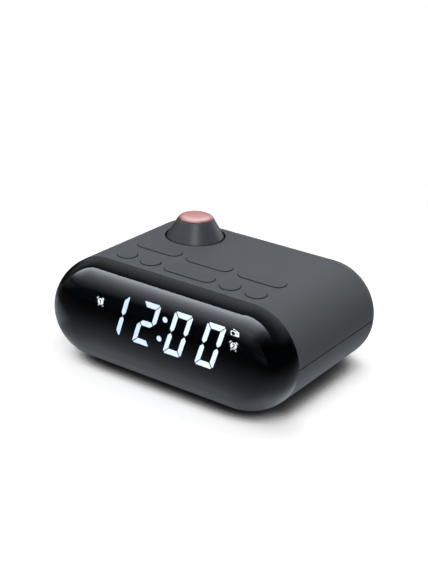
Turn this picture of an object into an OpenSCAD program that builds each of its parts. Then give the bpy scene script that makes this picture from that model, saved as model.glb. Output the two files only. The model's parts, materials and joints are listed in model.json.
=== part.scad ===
// Projection alarm clock with a capsule-shaped body, a domed gloss front,
// eight low keys and a projector turret that swivels in the top.
// Millimetres. The origin lies at the centre of the footprint, on the surface that the feet stand on:
// +X to the reader's right, +Y to the rear, +Z up.

/* [Body] */
// Width of the body, end to end
body_w = 180; // [176:1:200]
// Height of the body, whose two ends are half rounds of this height
body_h = 67; // [65:1:72]
// Depth of the matt case, from its front edge to the flat rear
case_depth = 104; // [100:1:125]
// Rounding of the rear edge
rear_round = 15; // [12:1:17]
// Wall of both case halves
wall = 2.2; // [1.8:0.1:2.6]
// Open line that shows between the case halves
seam_gap = 0.6; // [0.3:0.1:0.8]
// Height of the tongue that lines the halves up
tongue_h = 2; // [1.5:0.5:3]
// How far the feet hold the body off the table
foot_h = 1.5; // [1.2:0.1:3]
// Radius of a foot
foot_r = 6; // [4:0.5:7]
// Distance of the feet from the centre line
foot_x = 46; // [40:1:48]

/* [Front cap] */
// Straight rim of the cap before its shoulder starts
cap_rim = 0.6; // [0.4:0.1:1.5]
// Radius of the long shoulder
shoulder_r = 32; // [28:1:33]
// Angle that the shoulder turns through
shoulder_turn = 38; // [34:1:42]
// Radius of the tighter corner between the shoulder and the face
corner_r = 15; // [12:1:18]
// Angle at which the corner meets the crowned face
corner_turn = 70; // [66:1:74]
// Wall of the cap
cap_wall = 2.2; // [1.6:0.1:2.6]
// Length of the lip that enters the case
lip_len = 2.5; // [1.5:0.5:3]
// Thickness of that lip
lip_t = 1.6; // [1.2:0.1:2]
// Clearance round the lip
lip_gap = 0.15; // [0.1:0.05:0.3]

/* [Display] */
// Distance of the display face in front of the case's front edge
display_forward = 12.5; // [11:0.5:14]
// Height of the display's centre above the body's
display_raise = 4.3; // [2:0.1:6]
// Sideways place of the display's centre
display_x = -1; // [-2:0.1:1]
// Height of a digit
digit_h = 30.4; // [27:0.1:31]
// Width of a digit, measured level
digit_w = 13.6; // [12:0.1:14.5]
// Distance from digit to digit
digit_pitch = 24.2; // [22:0.1:25]
// Width of the level segments
bar_w = 3.8; // [3:0.1:4.2]
// Width of the upright segments
upright_w = 3.2; // [2.8:0.1:3.8]
// Half of the dark line between two segments
segment_gap = 0.45; // [0.15:0.05:0.5]
// Cut across the outer corners of a digit
segment_cut = 1.1; // [0.5:0.1:1.6]
// Lean of the digits, from upright
digit_lean = 17; // [8:1:18]
// Depth of the segment block
module_t = 8; // [7:0.5:9]
// Depth of the light-filled part of each segment pocket
fill_t = 6; // [4:0.5:6]

/* [Keys] */
// First row of keys, measured from the case's front edge
row_1 = 12.8; // [12.5:0.1:14]
// Second row of keys, measured from the case's front edge
row_2 = 34.3; // [33:0.1:36]
// Radius of the round keys
round_key_r = 6.55; // [6:0.05:6.8]
// Half the breadth of the long keys
long_key_r = 5.55; // [5:0.05:6]
// Distance of the outer round keys from the centre line
outer_key_x = 49.6; // [49:0.1:51]
// Distance of the inner round keys from the centre line
inner_key_x = 30.4; // [29.8:0.1:31]
// Distance of the outer long keys from the centre line
long_key_x = 39.8; // [39:0.1:40.5]
// Half the straight stretch of the snooze key
snooze_half = 12.7; // [10:0.1:13]
// Half the straight stretch of the other long keys
long_half = 11.3; // [8:0.1:12]
// Gap round a key
key_gap = 0.4; // [0.25:0.05:0.5]
// How far a key stands proud of the top
key_proud = 0.6; // [0.4:0.1:0.8]
// Travel of a key
key_travel = 0.6; // [0.3:0.1:0.8]
// Width of the flange that keeps a key in the case
flange_w = 1; // [0.8:0.1:1.1]
// Drop of the stem below the flange
stem_drop = 3; // [2.5:0.5:5]

/* [Projector turret] */
// Sideways place of the turret
turret_x = -37.1; // [-40:0.1:-34]
// Place of the turret behind the case's front edge
turret_back = 70; // [69.5:0.5:74]
// Radius of the round recess
recess_r = 20.6; // [20.2:0.1:21]
// Depth of the recess
recess_d = 2.6; // [2.2:0.1:3.2]
// Radius of the cone where it leaves the recess
cone_r = 19.1; // [18.5:0.1:19.6]
// Radius of the cone at its rim
rim_r = 11.5; // [11.4:0.1:12.2]
// Height of the cone above the top
cone_h = 13.4; // [12:0.1:16]
// Rounding of the rim
rim_round = 0.5; // [0.2:0.1:0.6]
// Wall of the cone
cone_wall = 1.7; // [1.4:0.1:1.9]
// Radius of the projection lens
lens_r = 10.9; // [10.5:0.1:10.9]
// How far the middle of the lens domes above its edge
lens_bulge = 1.8; // [1:0.1:2]
// Radius of the turret's spigot
spigot_r = 13; // [12.9:0.1:13.4]
// Running clearance of the spigot in its bearing
spigot_gap = 0.06; // [0.03:0.01:0.1]
// Turn of the turret each way
swivel = 90; // [60:5:90]

/* [Underside] */
// Radius of the speaker's flange
speaker_r = 25; // [22:0.5:25.5]
// Sideways place of the speaker
speaker_x = -28; // [-29:0.5:-27]
// Place of the speaker and the battery bay behind the case's front edge
bay_back = 50; // [46:1:52]
// Width of a grille slot
slot_w = 1.8; // [1.2:0.1:2.2]
// Distance from slot to slot
slot_pitch = 4; // [3.5:0.1:5]
// Sideways place of the battery bay
bay_x = 31; // [30.5:0.1:31.5]
// Room for a contact spring at each end of the bay
spring_room = 3.75; // [3.25:0.25:4]
// Width of the bay inside
bay_w = 23; // [22.6:0.1:25]
// Gap round the battery door
door_gap = 0.3; // [0.2:0.05:0.4]
// Thickness of the battery door
door_t = 2; // [1.8:0.1:2.1]

/* [Hidden] */
$fn = 64;

// Colours
case_colour = "#55585b";
gloss_black = "#0c0d0f";
board_green = "#2c5a3c";
metal = "#b9bcc0";
black_plastic = "#1c1d1f";
lamp_white = "#f2f6ff";

// Body
half_h = body_h / 2;            // radius of the round ends
spine = body_w / 2 - half_h;    // half the straight stretch between them
bottom_z = foot_h;
mid_z = foot_h + half_h;
top_z = foot_h + body_h;
floor_z = bottom_z + wall;      // inside of the bottom
ceiling_z = top_z - wall;       // inside of the top

// Front cap: three tangent arcs, each found from where the one before it ends
function toward(turn) = [cos(turn), -sin(turn)];
shoulder_at = [half_h - shoulder_r, -cap_rim];
corner_at = shoulder_at + (shoulder_r - corner_r) * toward(shoulder_turn);
corner_end = corner_at + corner_r * toward(corner_turn);
crown_r = corner_end[0] / cos(corner_turn);
crown_at = [0, corner_end[1] + crown_r * sin(corner_turn)];
cap_depth = crown_r - crown_at[1];
edge_y = cap_depth - (cap_depth + case_depth) / 2; // the case's front edge
rear_y = edge_y + case_depth;
lip_in = wall + lip_gap + lip_t;
rim_len = 3;                    // thick part of the cap behind its shoulder
tongue_t = 1;
tongue_gap = 0.1;
tongue_play = 0.2;              // left above the tongue
tongue_root = 3;                // of the tongue below the seam

// Display
bezel_t = 1.6;
bezel_skirt = 1.4;
bezel_len = 2;                  // reach of the bezel behind the case's front edge
bezel_gap = 0.1;
bezel_clear = 0.4;              // between the bezel's front corner and the cap
bezel_front_r = shoulder_at[0] - bezel_clear
    + sqrt(pow(shoulder_r - cap_wall, 2) - pow(display_forward - cap_rim, 2));
display_z = mid_z + display_raise;
display_y = edge_y - display_forward;
module_side = 9;                // of the block beside the outer digits' pitch
module_rim = 2.5;               // of the block above and below the digits
module_w = 4 * digit_pitch + 2 * module_side;
module_h = digit_h + 2 * module_rim;
board_t = 1.6;
display_board_y = display_y + module_t;
display_ear = 8;                // of the board beside the block, for its screws
display_board_w = module_w + 2 * display_ear;
display_boss_x = (module_w + display_ear) / 2;
display_boss_z = module_h / 3;
boss_r = 2.6;
pilot_r = 1;
small_screw_r = 1;
small_head_r = 2;
small_head_h = 1.4;
small_screw_bite = 4;
screw_gap = 0.2;                // round a small screw in its board
pilot_depth = 5;
dot_r = 1.85;
dot_rise = digit_h * 0.229;     // of each colon dot, from the digit's middle
sign_unit = 1;                  // size of one unit in which the signs are drawn
left_sign_x = 50.3;
right_sign_x = 51.8;
radio_sign_x = 52.2;
sign_z = 4.6;                   // above the display's centre
sign_step = 8.4;
led_size = [1.6, 1.2, 1.2];
header_w = 30;
header_t = 2.5;
header_reach = 3;               // under the main board

// Keys and their switches
key_roof = 1.6;
key_wall = 1.2;
key_round = 0.4;
slide_gap = 0.1;
flange_t = 1;
guide_gap = 0.35;
guide_t = 1.2;
guide_h = 5;
stem_r = 2;
flange_top = ceiling_z - slide_gap;
stem_bottom = flange_top - flange_t - stem_drop;
plunger_r = 1.75;
plunger_gap = 0.06;
plunger_out = 1.6;
plunger_in = 2;
plunger_over = 0.1;             // left under a plunger that is fully down
switch_h = 3.6;
switch_w = 6;
switch_top = stem_bottom - plunger_out;
board_top = switch_top - switch_h;
board_half_w = 58;
board_front = 4;                // behind the case's front edge
board_rear = 47.4;
boss_row_1 = (row_1 + row_2) / 2;
boss_row_step = 10;             // from the second row of keys to the second row of bosses
boss_row_2 = row_2 + boss_row_step;
boss_spots = [[-20, boss_row_1], [20, boss_row_1], [-54, boss_row_1], [54, boss_row_1],
    [-20, boss_row_2], [20, boss_row_2]];
// Each chip: left edge, front edge, width, depth
chips = [[-38, 18, 14, 14], [6, 16, 10, 7], [30, 28, 12, 8]];
chip_t = 1.6;
// Each capacitor: sideways place, place from front to rear, radius
cans = [[44, 16, 4], [34, 14, 3.2], [-6, 36, 3.2]];
can_slimness = 2.4;             // height over radius
// Each key: sideways place, row, half of its straight stretch, radius
alarm_1_at = [-outer_key_x, row_1, 0, round_key_r];
hour_at = [-inner_key_x, row_1, 0, round_key_r];
snooze_at = [0, row_1, snooze_half, long_key_r];
minute_at = [inner_key_x, row_1, 0, round_key_r];
alarm_2_at = [outer_key_x, row_1, 0, round_key_r];
projection_at = [-long_key_x, row_2, long_half, long_key_r];
radio_at = [0, row_2, long_half, long_key_r];
volume_at = [long_key_x, row_2, long_half, long_key_r];
key_spots = [alarm_1_at, hour_at, snooze_at, minute_at, alarm_2_at, projection_at, radio_at, volume_at];

// Turret, from the recess floor up and from the bearing down
turret_y = edge_y + turret_back;
recess_z = top_z - recess_d;
recess_wall = 1.6;
well_floor_t = 2.2;
washer_t = 0.4;
washer_gap = 0.1;
base_z = recess_z + washer_t + washer_gap; // underside of the turret
base_t = 1.6;
turret_fit = 0.05;              // between glued pieces of the turret
base_r = cone_r - cone_wall - turret_fit;
rim_z = top_z + cone_h;
lens_sink = 0.2;                // of the lens's edge below the rim
lens_edge_t = 2.1;
lens_back = rim_z - lens_sink - lens_edge_t;
lens_ledge = 1.2;               // that the lens seats on
lens_seat_r = lens_r - 1;
bearing_drop = 3.5;             // of the bearing below the recess's floor
bearing_z = recess_z - well_floor_t - bearing_drop;
clip_t = 1.2;
clip_depth = 1;                 // of its groove
clip_w = 2.2;                   // of the clip outside the spigot
clip_play = 0.1;
clip_opening = 40;
clip_r = spigot_r + clip_w;
clip_z = bearing_z - clip_play - clip_t;
spigot_tail = 2;                // of the spigot below the clip
spigot_z = clip_z - spigot_tail;
spigot_wall = 1.8;
barrel_r = spigot_r - spigot_wall;
barrel_t = 1.5;
barrel_tail = 6;                // of the barrel below the spigot
barrel_grip = 10;               // of the barrel's thick part inside the spigot
barrel_thin = 0.7;              // wall above that
barrel_z = spigot_z - barrel_tail;
barrel_in = barrel_r - turret_fit - barrel_t;
barrel_top = lens_back - lens_ledge;
ledge = 1.4;
ledge_t = 1;
slide_w = 12.4;
slide_t = 1.1;
slide_z = spigot_z + 4;
condenser_z = spigot_z - 1;
condenser_edge = 1;
condenser_bulge = 2;
led_r = 2.5;
led_h = 4;
led_rim = 0.4;                  // of the collar at its foot
tab_w = 4;
tab_r = clip_r + 3;
stop_w = 3;
stop_t = 2;
stop_r = tab_r - stop_t / 2;    // middle of the stop ribs
stop_below = 0.3;               // of the ribs below the clip
stop_angle = swivel + asin(tab_w / 2 / stop_r) + asin(stop_w / 2 / stop_r) + 1;

// Screw posts
post_r = 3.8;
post_gap = 2;                   // between a post and the outer key's guide
post_x = outer_key_x + round_key_r + flange_w + guide_gap + guide_t + post_gap + post_r;
post_front = 14;
post_rear = 84;
post_spots = [for (x = [-post_x, post_x], y = [post_front, post_rear]) [x, y]];
case_screw_r = 1.5;
case_head_r = 2.8;
case_head_h = 2.2;
screw_well = 18;                // from the underside to a screw's head
case_head_z = bottom_z + screw_well;
case_screw_bite = 9;
case_screw_gap = 0.3;           // round a case screw and its head in the lower half

// Feet
foot_sink = 0.8;
foot_round = 0.6;
foot_gap = 0.1;
foot_front = 12;
foot_rear = 80;

// Speaker
bay_y = edge_y + bay_back;
gasket_t = 1;
speaker_flange_t = 1.5;
speaker_z = floor_z + gasket_t;
speaker_neck_r = 13;
speaker_depth = 12;
magnet_r = 16;
magnet_t = 8;
cone_paper = 0.6;
speaker_fit = 0.3;
collar_t = 1.5;
collar_h = 4;
grille_r = speaker_r - 4.5;
speaker_post_r = 3;
speaker_screw_at = speaker_r + speaker_fit + speaker_post_r;
speaker_head_r = 3.9;
speaker_head_gap = 0.3;
speaker_land = 3.5;             // width of the basket's flat rim
basket_t = 0.8;
basket_hole_r = 5;
coil_r = 4.4;
coil_t = 0.6;
coil_out = 0.5;                 // of the coil into the magnet
cone_dip = 5.6;                 // depth of the paper cone
cone_neck_r = 6;
surround_w = 2;
dust_cap_z = 3.4;

// Battery bay, door hinged along its rear edge
bay_y_half = bay_w / 2;
bay_rib = 2.6;                  // wall of the bay
bay_roof = 1.5;
door_overlap = 0.9;             // of the door on the bay's walls
cell_r = 5.25;
cell_l = 44.5;
bay_l = cell_l + 2 * spring_room;
cell_button_r = 1.9;
cell_gap = 0.3;
cell_z = bottom_z + door_t + cell_gap + cell_r;
bay_top = cell_z + cell_r + cell_gap;
hinge_z = bottom_z + 1.6;
hinge_y = bay_y + bay_y_half + 0.6;
knuckle_r = 1.5;
knuckle_clear = 1.9;
hinge_pin_r = 0.9;
hinge_hole_r = 0.95;
hinge_pin_l = 1.6;
pin_play = 0.2;                 // past the end of a hinge pin
opening_x = bay_l / 2 + door_overlap + door_gap;
opening_y = bay_y_half + door_overlap + door_gap;
contact_t = 0.4;
contact_w = 7;
contact_half_h = 4.5;
contact_gap = 0.1;
nub_l = 1;
tongue_w = 10;                  // of the sprung tongue that holds the door shut
latch_t = 0.9;
latch_h = 2.2;
latch_gap = 0.3;
grip_rows = 3;                  // of ribs each side of the middle one
grip_pitch = 1.1;
grip_t = 0.5;
grip_back = 6.3;                // of the middle rib behind the door's front edge
scoop_r = 6;
scoop_h = 1.4;

// Sockets in the rear
jack_x = 46;
jack_z = mid_z - 13;
jack_nose_r = 4.6;
jack_bore_r = 2.85;
jack_depth = 11;
jack_floor = 1.5;
jack_pin_short = 1;             // of the pin behind the rear face
jack_flange_w = 13;
jack_flange_t = 1.5;
jack_gap = 0.1;
jack_pin_r = 1;
grommet_x = 26;
grommet_r = 3;
grommet_lip = 1.2;
wire_r = 1.1;
grommet_taper = 0.8;

// ---- Shapes that several pieces share ----

module pie(r, from, to) {
    intersection() {
        circle(r);
        polygon([[0, 0], 2 * r * [cos(from), sin(from)], 2 * r * [cos(to), sin(to)]]);
    }
}

// A half profile of radius and height, turned about Z and drawn out along X by half each way
module pill(half) {
    if (half == 0)
        rotate_extrude() children();
    else {
        for (side = [-1, 1])
            translate([side * half, 0, 0])
                rotate_extrude(angle = 180, start = side > 0 ? -90 : 90) children();
        translate([-half, 0, 0]) rotate([90, 0, 90]) linear_extrude(2 * half) {
            children();
            mirror([1, 0]) children();
        }
    }
}

// The same for the body: its half profile runs from the spine outwards and from the front edge back
module along_body() {
    translate([0, edge_y, mid_z]) rotate([-90, 0, 0]) pill(spine, $fn = 96) children();
}

module slab(from, to) {
    translate([-body_w, -body_w, from]) cube([2 * body_w, 2 * body_w, to - from]);
}

module case_section(inset, open = 0) {
    r = rear_round - inset;
    x = half_h - inset;
    y = case_depth - inset;
    translate([0, -open]) square([x, y - r + open]);
    square([x - r, y]);
    translate([x - r, y - r]) intersection() {
        circle(r);
        square(2 * r);
    }
}

module cap_section(inset, back = 0) {
    shoulder = shoulder_r - inset;
    corner = corner_r - inset;
    crown = crown_r - inset;
    intersection() {
        translate([0, -2 * cap_depth]) square([body_h, 2 * cap_depth + back]);
        union() {
            polygon([[0, back], [half_h - inset, back], [half_h - inset, -cap_rim],
                shoulder_at + shoulder * toward(shoulder_turn),
                corner_at + corner * toward(corner_turn), [0, crown_at[1] - crown]]);
            translate(shoulder_at) pie(shoulder, -shoulder_turn, 0);
            translate(corner_at) pie(corner, -corner_turn, -shoulder_turn);
            translate(crown_at) pie(crown, -90, -corner_turn);
        }
    }
}

module screw(length, r, head_r, head_h) {
    slot = [head_r * 1.2, head_r / 4, head_h];
    cylinder(length, r = r);
    translate([0, 0, -head_h]) difference() {
        cylinder(head_h, r = head_r);
        for (turn = [0, 90])
            rotate(turn) translate([-slot[0] / 2, -slot[1] / 2, -head_h / 2]) cube(slot);
    }
}

module at_turret() {
    translate([turret_x, turret_y, 0]) children();
}

module at_key(spot) {
    translate([spot[0], edge_y + spot[1], 0]) children();
}

module at_speaker() {
    translate([speaker_x, bay_y, 0]) children();
}

// The display screws' places, drawn on the board's rear face and pointing to the front
module at_display_screws() {
    for (x = [-display_boss_x, display_boss_x], z = [-display_boss_z, display_boss_z])
        translate([display_x + x, display_board_y + board_t, display_z + z]) rotate([90, 0, 0]) children();
}

// ---- Case ----

module case_shell() {
    along_body() difference() {
        case_section(0);
        case_section(wall, open = 1);
    }
}

// Screw posts, trimmed to end inside the case wall
module posts(from, to) {
    intersection() {
        along_body() case_section(wall / 2);
        for (spot = post_spots)
            translate([spot[0], edge_y + spot[1], from]) cylinder(to - from, r = post_r);
    }
}

module key_guide(spot) {
    at_key(spot) translate([0, 0, ceiling_z - guide_h]) pill(spot[2])
        square([spot[3] + flange_w + guide_gap + guide_t, guide_h + wall / 2]);
}

module key_opening(spot) {
    at_key(spot) pill(spot[2]) {
        translate([0, ceiling_z - guide_h - 1])
            square([spot[3] + flange_w + guide_gap, guide_h + 1]);
        translate([0, ceiling_z - 1]) square([spot[3] + key_gap, wall + 2]);
    }
}

module turret_well() {
    at_turret() {
        translate([0, 0, recess_z - well_floor_t])
            cylinder(recess_d + well_floor_t - wall / 2, r = recess_r + recess_wall);
        translate([0, 0, bearing_z]) cylinder(recess_z - bearing_z, r = spigot_r + recess_wall);
        for (side = [-1, 1])
            rotate(-90 + side * stop_angle)
                translate([stop_r - stop_t / 2, -stop_w / 2, clip_z - stop_below])
                    cube([stop_t, stop_w, recess_z - clip_z - well_floor_t / 2]);
    }
}

module upper_case() {
    color(case_colour) difference() {
        union() {
            difference() {
                intersection() {
                    case_shell();
                    slab(mid_z + seam_gap / 2, top_z + 1);
                }
                intersection() {
                    along_body() case_section(wall - tongue_t - tongue_gap, open = 1);
                    slab(mid_z, mid_z + tongue_h + tongue_play);
                }
            }
            for (spot = key_spots) key_guide(spot);
            turret_well();
            for (spot = boss_spots)
                translate([spot[0], edge_y + spot[1], board_top])
                    cylinder(ceiling_z - board_top + wall / 2, r = boss_r);
            posts(mid_z, top_z);
        }
        for (spot = key_spots) key_opening(spot);
        at_turret() {
            translate([0, 0, recess_z]) cylinder(recess_d + 1, r = recess_r);
            translate([0, 0, bearing_z - 1])
                cylinder(recess_z - bearing_z + 2, r = spigot_r + spigot_gap);
        }
        for (spot = boss_spots)
            translate([spot[0], edge_y + spot[1], board_top - 1]) cylinder(pilot_depth + 1, r = pilot_r);
        for (spot = post_spots)
            translate([spot[0], edge_y + spot[1], mid_z - 1])
                cylinder(case_screw_bite + 2, r = case_screw_r);
    }
}

module battery_bay() {
    translate([bay_x - bay_l / 2 - bay_rib, bay_y - bay_y_half - bay_rib, floor_z - wall / 2])
        cube([bay_l + 2 * bay_rib, bay_w + 2 * bay_rib, bay_top + bay_roof - floor_z + wall / 2]);
}

module battery_bay_hollow() {
    translate([bay_x, bay_y, 0]) {
        translate([-bay_l / 2, -bay_y_half, bottom_z - 1]) cube([bay_l, bay_w, bay_top - bottom_z + 1]);
        translate([-opening_x, -opening_y, bottom_z - 1]) cube([2 * opening_x, 2 * opening_y, door_t + 1]);
        translate([0, -opening_y, bottom_z - 1]) cylinder(scoop_h + 1, r = scoop_r); // finger scoop
    }
    translate([bay_x - opening_x, hinge_y, hinge_z]) rotate([0, 90, 0])
        cylinder(2 * opening_x, r = knuckle_clear);
    translate([bay_x - opening_x, hinge_y - 1, bottom_z - 1])
        cube([2 * opening_x, knuckle_clear + 1, hinge_z - bottom_z + 1]);
    translate([bay_x - opening_x - hinge_pin_l, hinge_y, hinge_z]) rotate([0, 90, 0])
        cylinder(2 * (opening_x + hinge_pin_l), r = hinge_hole_r);
}

module speaker_slots() {
    rows = floor((grille_r - slot_w) / slot_pitch);
    for (i = [-rows:rows]) {
        half = sqrt(pow(grille_r, 2) - pow(i * slot_pitch, 2)) - slot_w / 2;
        at_speaker() translate([0, i * slot_pitch, bottom_z - 1]) pill(half) square([slot_w / 2, wall + 2]);
    }
}

module at_speaker_screws() {
    at_speaker()
        for (turn = [90, 210, 330])
            rotate(turn) translate([speaker_screw_at, 0, 0]) children();
}

module lower_case() {
    color(case_colour) difference() {
        union() {
            intersection() {
                case_shell();
                slab(bottom_z - 1, mid_z - seam_gap / 2);
            }
            intersection() {
                along_body() difference() {
                    case_section(wall - tongue_t);
                    case_section(wall, open = 1);
                }
                slab(mid_z - tongue_root, mid_z + tongue_h);
            }
            posts(bottom_z, mid_z);
            battery_bay();
            at_speaker() translate([0, 0, floor_z - wall / 2])
                cylinder(collar_h + wall / 2, r = speaker_r + speaker_fit + collar_t);
            at_speaker_screws() translate([0, 0, floor_z - wall / 2])
                cylinder(gasket_t + speaker_flange_t + wall / 2, r = speaker_post_r);
        }
        battery_bay_hollow();
        speaker_slots();
        at_speaker() translate([0, 0, floor_z]) cylinder(body_h, r = speaker_r + speaker_fit);
        at_speaker_screws() {
            translate([0, 0, floor_z]) cylinder(body_h, r = pilot_r);
            translate([0, 0, speaker_z + speaker_flange_t])
                cylinder(collar_h, r = speaker_head_r + speaker_head_gap);
        }
        for (spot = post_spots)
            translate([spot[0], edge_y + spot[1], bottom_z - 1]) {
                cylinder(case_head_z - bottom_z + 1, r = case_head_r + case_screw_gap);
                cylinder(body_h, r = case_screw_r + case_screw_gap);
            }
        for (x = [-foot_x, foot_x], y = [foot_front, foot_rear])
            translate([x, edge_y + y, bottom_z - 1]) cylinder(foot_sink + 1, r = foot_r + foot_gap);
        translate([jack_x, rear_y - 2 * wall, jack_z]) rotate([-90, 0, 0])
            cylinder(4 * wall, r = jack_nose_r + jack_gap);
        translate([grommet_x, rear_y - 2 * wall, jack_z]) rotate([-90, 0, 0])
            cylinder(4 * wall, r = grommet_r);
    }
}

module feet() {
    color("#26272a")
        for (x = [-foot_x, foot_x], y = [foot_front, foot_rear])
            translate([x, edge_y + y, 0]) rotate_extrude() {
                square([foot_r - foot_round, foot_h + foot_sink]);
                translate([0, foot_round]) square([foot_r, foot_h + foot_sink - foot_round]);
                translate([foot_r - foot_round, foot_round]) rotate(-90) intersection() {
                    circle(foot_round);
                    square(2 * foot_round);
                }
            }
}

module case_screws() {
    color(metal)
        for (spot = post_spots)
            translate([spot[0], edge_y + spot[1], case_head_z])
                screw(mid_z + case_screw_bite - case_head_z, case_screw_r, case_head_r, case_head_h);
}

// ---- Front cap and display ----

module front_lens() {
    color(gloss_black) along_body() {
        difference() {
            cap_section(0);
            cap_section(cap_wall, back = 1);
        }
        intersection() {
            cap_section(0);
            translate([half_h - lip_in, -rim_len]) square([lip_in + 1, rim_len]);
        }
        translate([half_h - lip_in, -rim_len]) square([lip_t, rim_len + lip_len]);
    }
}

module display_bezel() {
    skirt_r = half_h - lip_in - bezel_gap;
    color(black_plastic) difference() {
        union() {
            along_body() {
                translate([0, -display_forward]) square([bezel_front_r, bezel_t]);
                translate([bezel_front_r - bezel_skirt, -display_forward])
                    square([bezel_skirt, display_forward + bezel_len]);
                translate([bezel_front_r - bezel_skirt, -rim_len])
                    square([skirt_r - bezel_front_r + bezel_skirt, rim_len + bezel_len]);
            }
            at_display_screws() translate([0, 0, board_t]) cylinder(module_t - bezel_t / 2, r = boss_r);
        }
        translate([display_x - module_w / 2, display_y - 1, display_z - module_h / 2])
            cube([module_w, bezel_t + 2, module_h]);
        at_display_screws() cylinder(board_t + pilot_depth, r = pilot_r);
    }
}

// Segments a to g of one digit, about the digit's middle and before it leans
seg_u = digit_w / 2;
seg_v = digit_h / 2;
function top_bar() = [[-seg_u + segment_cut + segment_gap, seg_v],
    [seg_u - segment_cut - segment_gap, seg_v],
    [seg_u - segment_cut / 2 - segment_gap, seg_v - segment_cut / 2],
    [seg_u - upright_w - segment_gap, seg_v - bar_w], [-seg_u + upright_w + segment_gap, seg_v - bar_w],
    [-seg_u + segment_cut / 2 + segment_gap, seg_v - segment_cut / 2]];
function upper_right() = [[seg_u, seg_v - segment_cut - segment_gap], [seg_u, bar_w / 2 + segment_gap],
    [seg_u - upright_w / 2, segment_gap], [seg_u - upright_w, bar_w / 2 + segment_gap],
    [seg_u - upright_w, seg_v - bar_w - segment_gap],
    [seg_u - segment_cut / 2, seg_v - segment_cut / 2 - segment_gap]];
function middle_bar() = [[-seg_u + upright_w / 2 + segment_gap, 0],
    [-seg_u + upright_w + segment_gap, bar_w / 2], [seg_u - upright_w - segment_gap, bar_w / 2],
    [seg_u - upright_w / 2 - segment_gap, 0],
    [seg_u - upright_w - segment_gap, -bar_w / 2], [-seg_u + upright_w + segment_gap, -bar_w / 2]];
function flip(points, u, v) = [for (p = points) [u * p[0], v * p[1]]];
function lean(points) = [for (p = points) [p[0] + p[1] * tan(digit_lean), p[1]]];
segments = [top_bar(), upper_right(), flip(upper_right(), 1, -1), flip(top_bar(), 1, -1),
    flip(upper_right(), -1, -1), flip(upper_right(), -1, 1), middle_bar()];
// Which segments of each digit are lit, for 12:00
lit = [[0, 1, 1, 0, 0, 0, 0], [1, 1, 0, 1, 1, 0, 1], [1, 1, 1, 1, 1, 1, 0], [1, 1, 1, 1, 1, 1, 0]];
function digit_x(i) = (i - 1.5) * digit_pitch;
function middle(points) = [for (k = [0, 1]) let (v = [for (p = points) p[k]]) (min(v) + max(v)) / 2];

module segment_faces(state) {
    for (i = [0:3], s = [0:6])
        if (lit[i][s] == state) translate([digit_x(i), 0]) polygon(lean(segments[s]));
}

module dot_faces() {
    for (side = [-1, 1])
        translate([side * dot_rise * tan(digit_lean), side * dot_rise]) circle(dot_r, $fn = 32);
}

// Alarm-clock sign: a round face with a dark number, two bells and two feet
module alarm_sign(number) {
    difference() {
        circle(2.55, $fn = 32);
        if (number == 1) {
            translate([-0.3, -1.5]) square([0.6, 3]);
            translate([-0.75, 0.85]) square([0.6, 0.5]);
        } else {
            for (v = [-1.6, -0.3, 1.05]) translate([-0.95, v]) square([1.9, 0.55]);
            translate([0.4, -0.1]) square([0.55, 1.5]);
            translate([-0.95, -1.4]) square([0.55, 1.5]);
        }
    }
    for (side = [-1, 1]) {
        translate([side * 2.15, 2.55]) rotate(-side * 42) square([1.9, 0.9], center = true);
        translate([side * 1.95, -2.6]) rotate(side * 40) square([0.8, 1], center = true);
    }
}

// Portable-radio sign: a case with a round dial and a slanted aerial
module radio_sign() {
    difference() {
        translate([-3, -1.7]) square([6, 3.4]);
        translate([-1.2, 0]) circle(1.25, $fn = 32);
        translate([0.9, 0.25]) square([1.4, 0.55]);
    }
    translate([-1.2, 2.4]) rotate(18) square([3.3, 0.55], center = true);
}

module icon_faces() {
    translate([-left_sign_x - display_x, sign_z]) scale(sign_unit) alarm_sign(1);
    translate([right_sign_x - display_x, sign_z]) scale(sign_unit) alarm_sign(2);
    translate([radio_sign_x - display_x, sign_z + sign_step]) scale(sign_unit) radio_sign();
}

// Draws a flat shape on the display face and gives it depth towards the rear
module into_display(depth, back = 0) {
    translate([display_x, display_y + back + depth, display_z]) rotate([90, 0, 0])
        linear_extrude(depth) children();
}

module display_module() {
    color(black_plastic) difference() {
        into_display(module_t) square([module_w, module_h], center = true);
        into_display(module_t + 2, back = -1) {
            segment_faces(0);
            segment_faces(1);
            dot_faces();
            icon_faces();
        }
    }
}

module lit_segments() {
    color(lamp_white) into_display(fill_t) segment_faces(1);
}

module unlit_segments() {
    color("#2a2c30") into_display(fill_t) segment_faces(0);
}

module colon_dots() {
    color(lamp_white) into_display(fill_t) dot_faces();
}

module indicator_icons() {
    color(lamp_white) into_display(fill_t) icon_faces();
}

module display_leds() {
    color("#e8e4c8") {
        for (i = [0:3], s = [0:6])
            let (at = middle(lean(segments[s])))
                into_display(led_size[1], back = module_t - led_size[1])
                    translate([digit_x(i) + at[0], at[1]])
                        square([led_size[0], led_size[2]], center = true);
        for (side = [-1, 1])
            into_display(led_size[1], back = module_t - led_size[1])
                translate([side * dot_rise * tan(digit_lean), side * dot_rise])
                    square([led_size[0], led_size[2]], center = true);
    }
}

module display_board() {
    color(board_green) difference() {
        into_display(board_t, back = module_t) square([display_board_w, module_h], center = true);
        at_display_screws() translate([0, 0, -1]) cylinder(board_t + 2, r = small_screw_r + screw_gap);
    }
}

module display_screws() {
    color(metal) at_display_screws()
        screw(board_t + small_screw_bite, small_screw_r, small_head_r, small_head_h);
}

module display_header() {
    header_y = display_board_y + board_t;
    color(black_plastic) translate([-header_w / 2, header_y, board_top - board_t - header_t])
        cube([header_w, edge_y + board_front + header_reach - header_y, header_t]);
}

// ---- Main board, switches and keys ----

module main_board() {
    color(board_green) difference() {
        translate([-board_half_w, edge_y + board_front, board_top - board_t])
            cube([2 * board_half_w, board_rear - board_front, board_t]);
        for (spot = boss_spots)
            translate([spot[0], edge_y + spot[1], board_top - board_t - 1])
                cylinder(board_t + 2, r = small_screw_r + screw_gap);
    }
}

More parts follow.
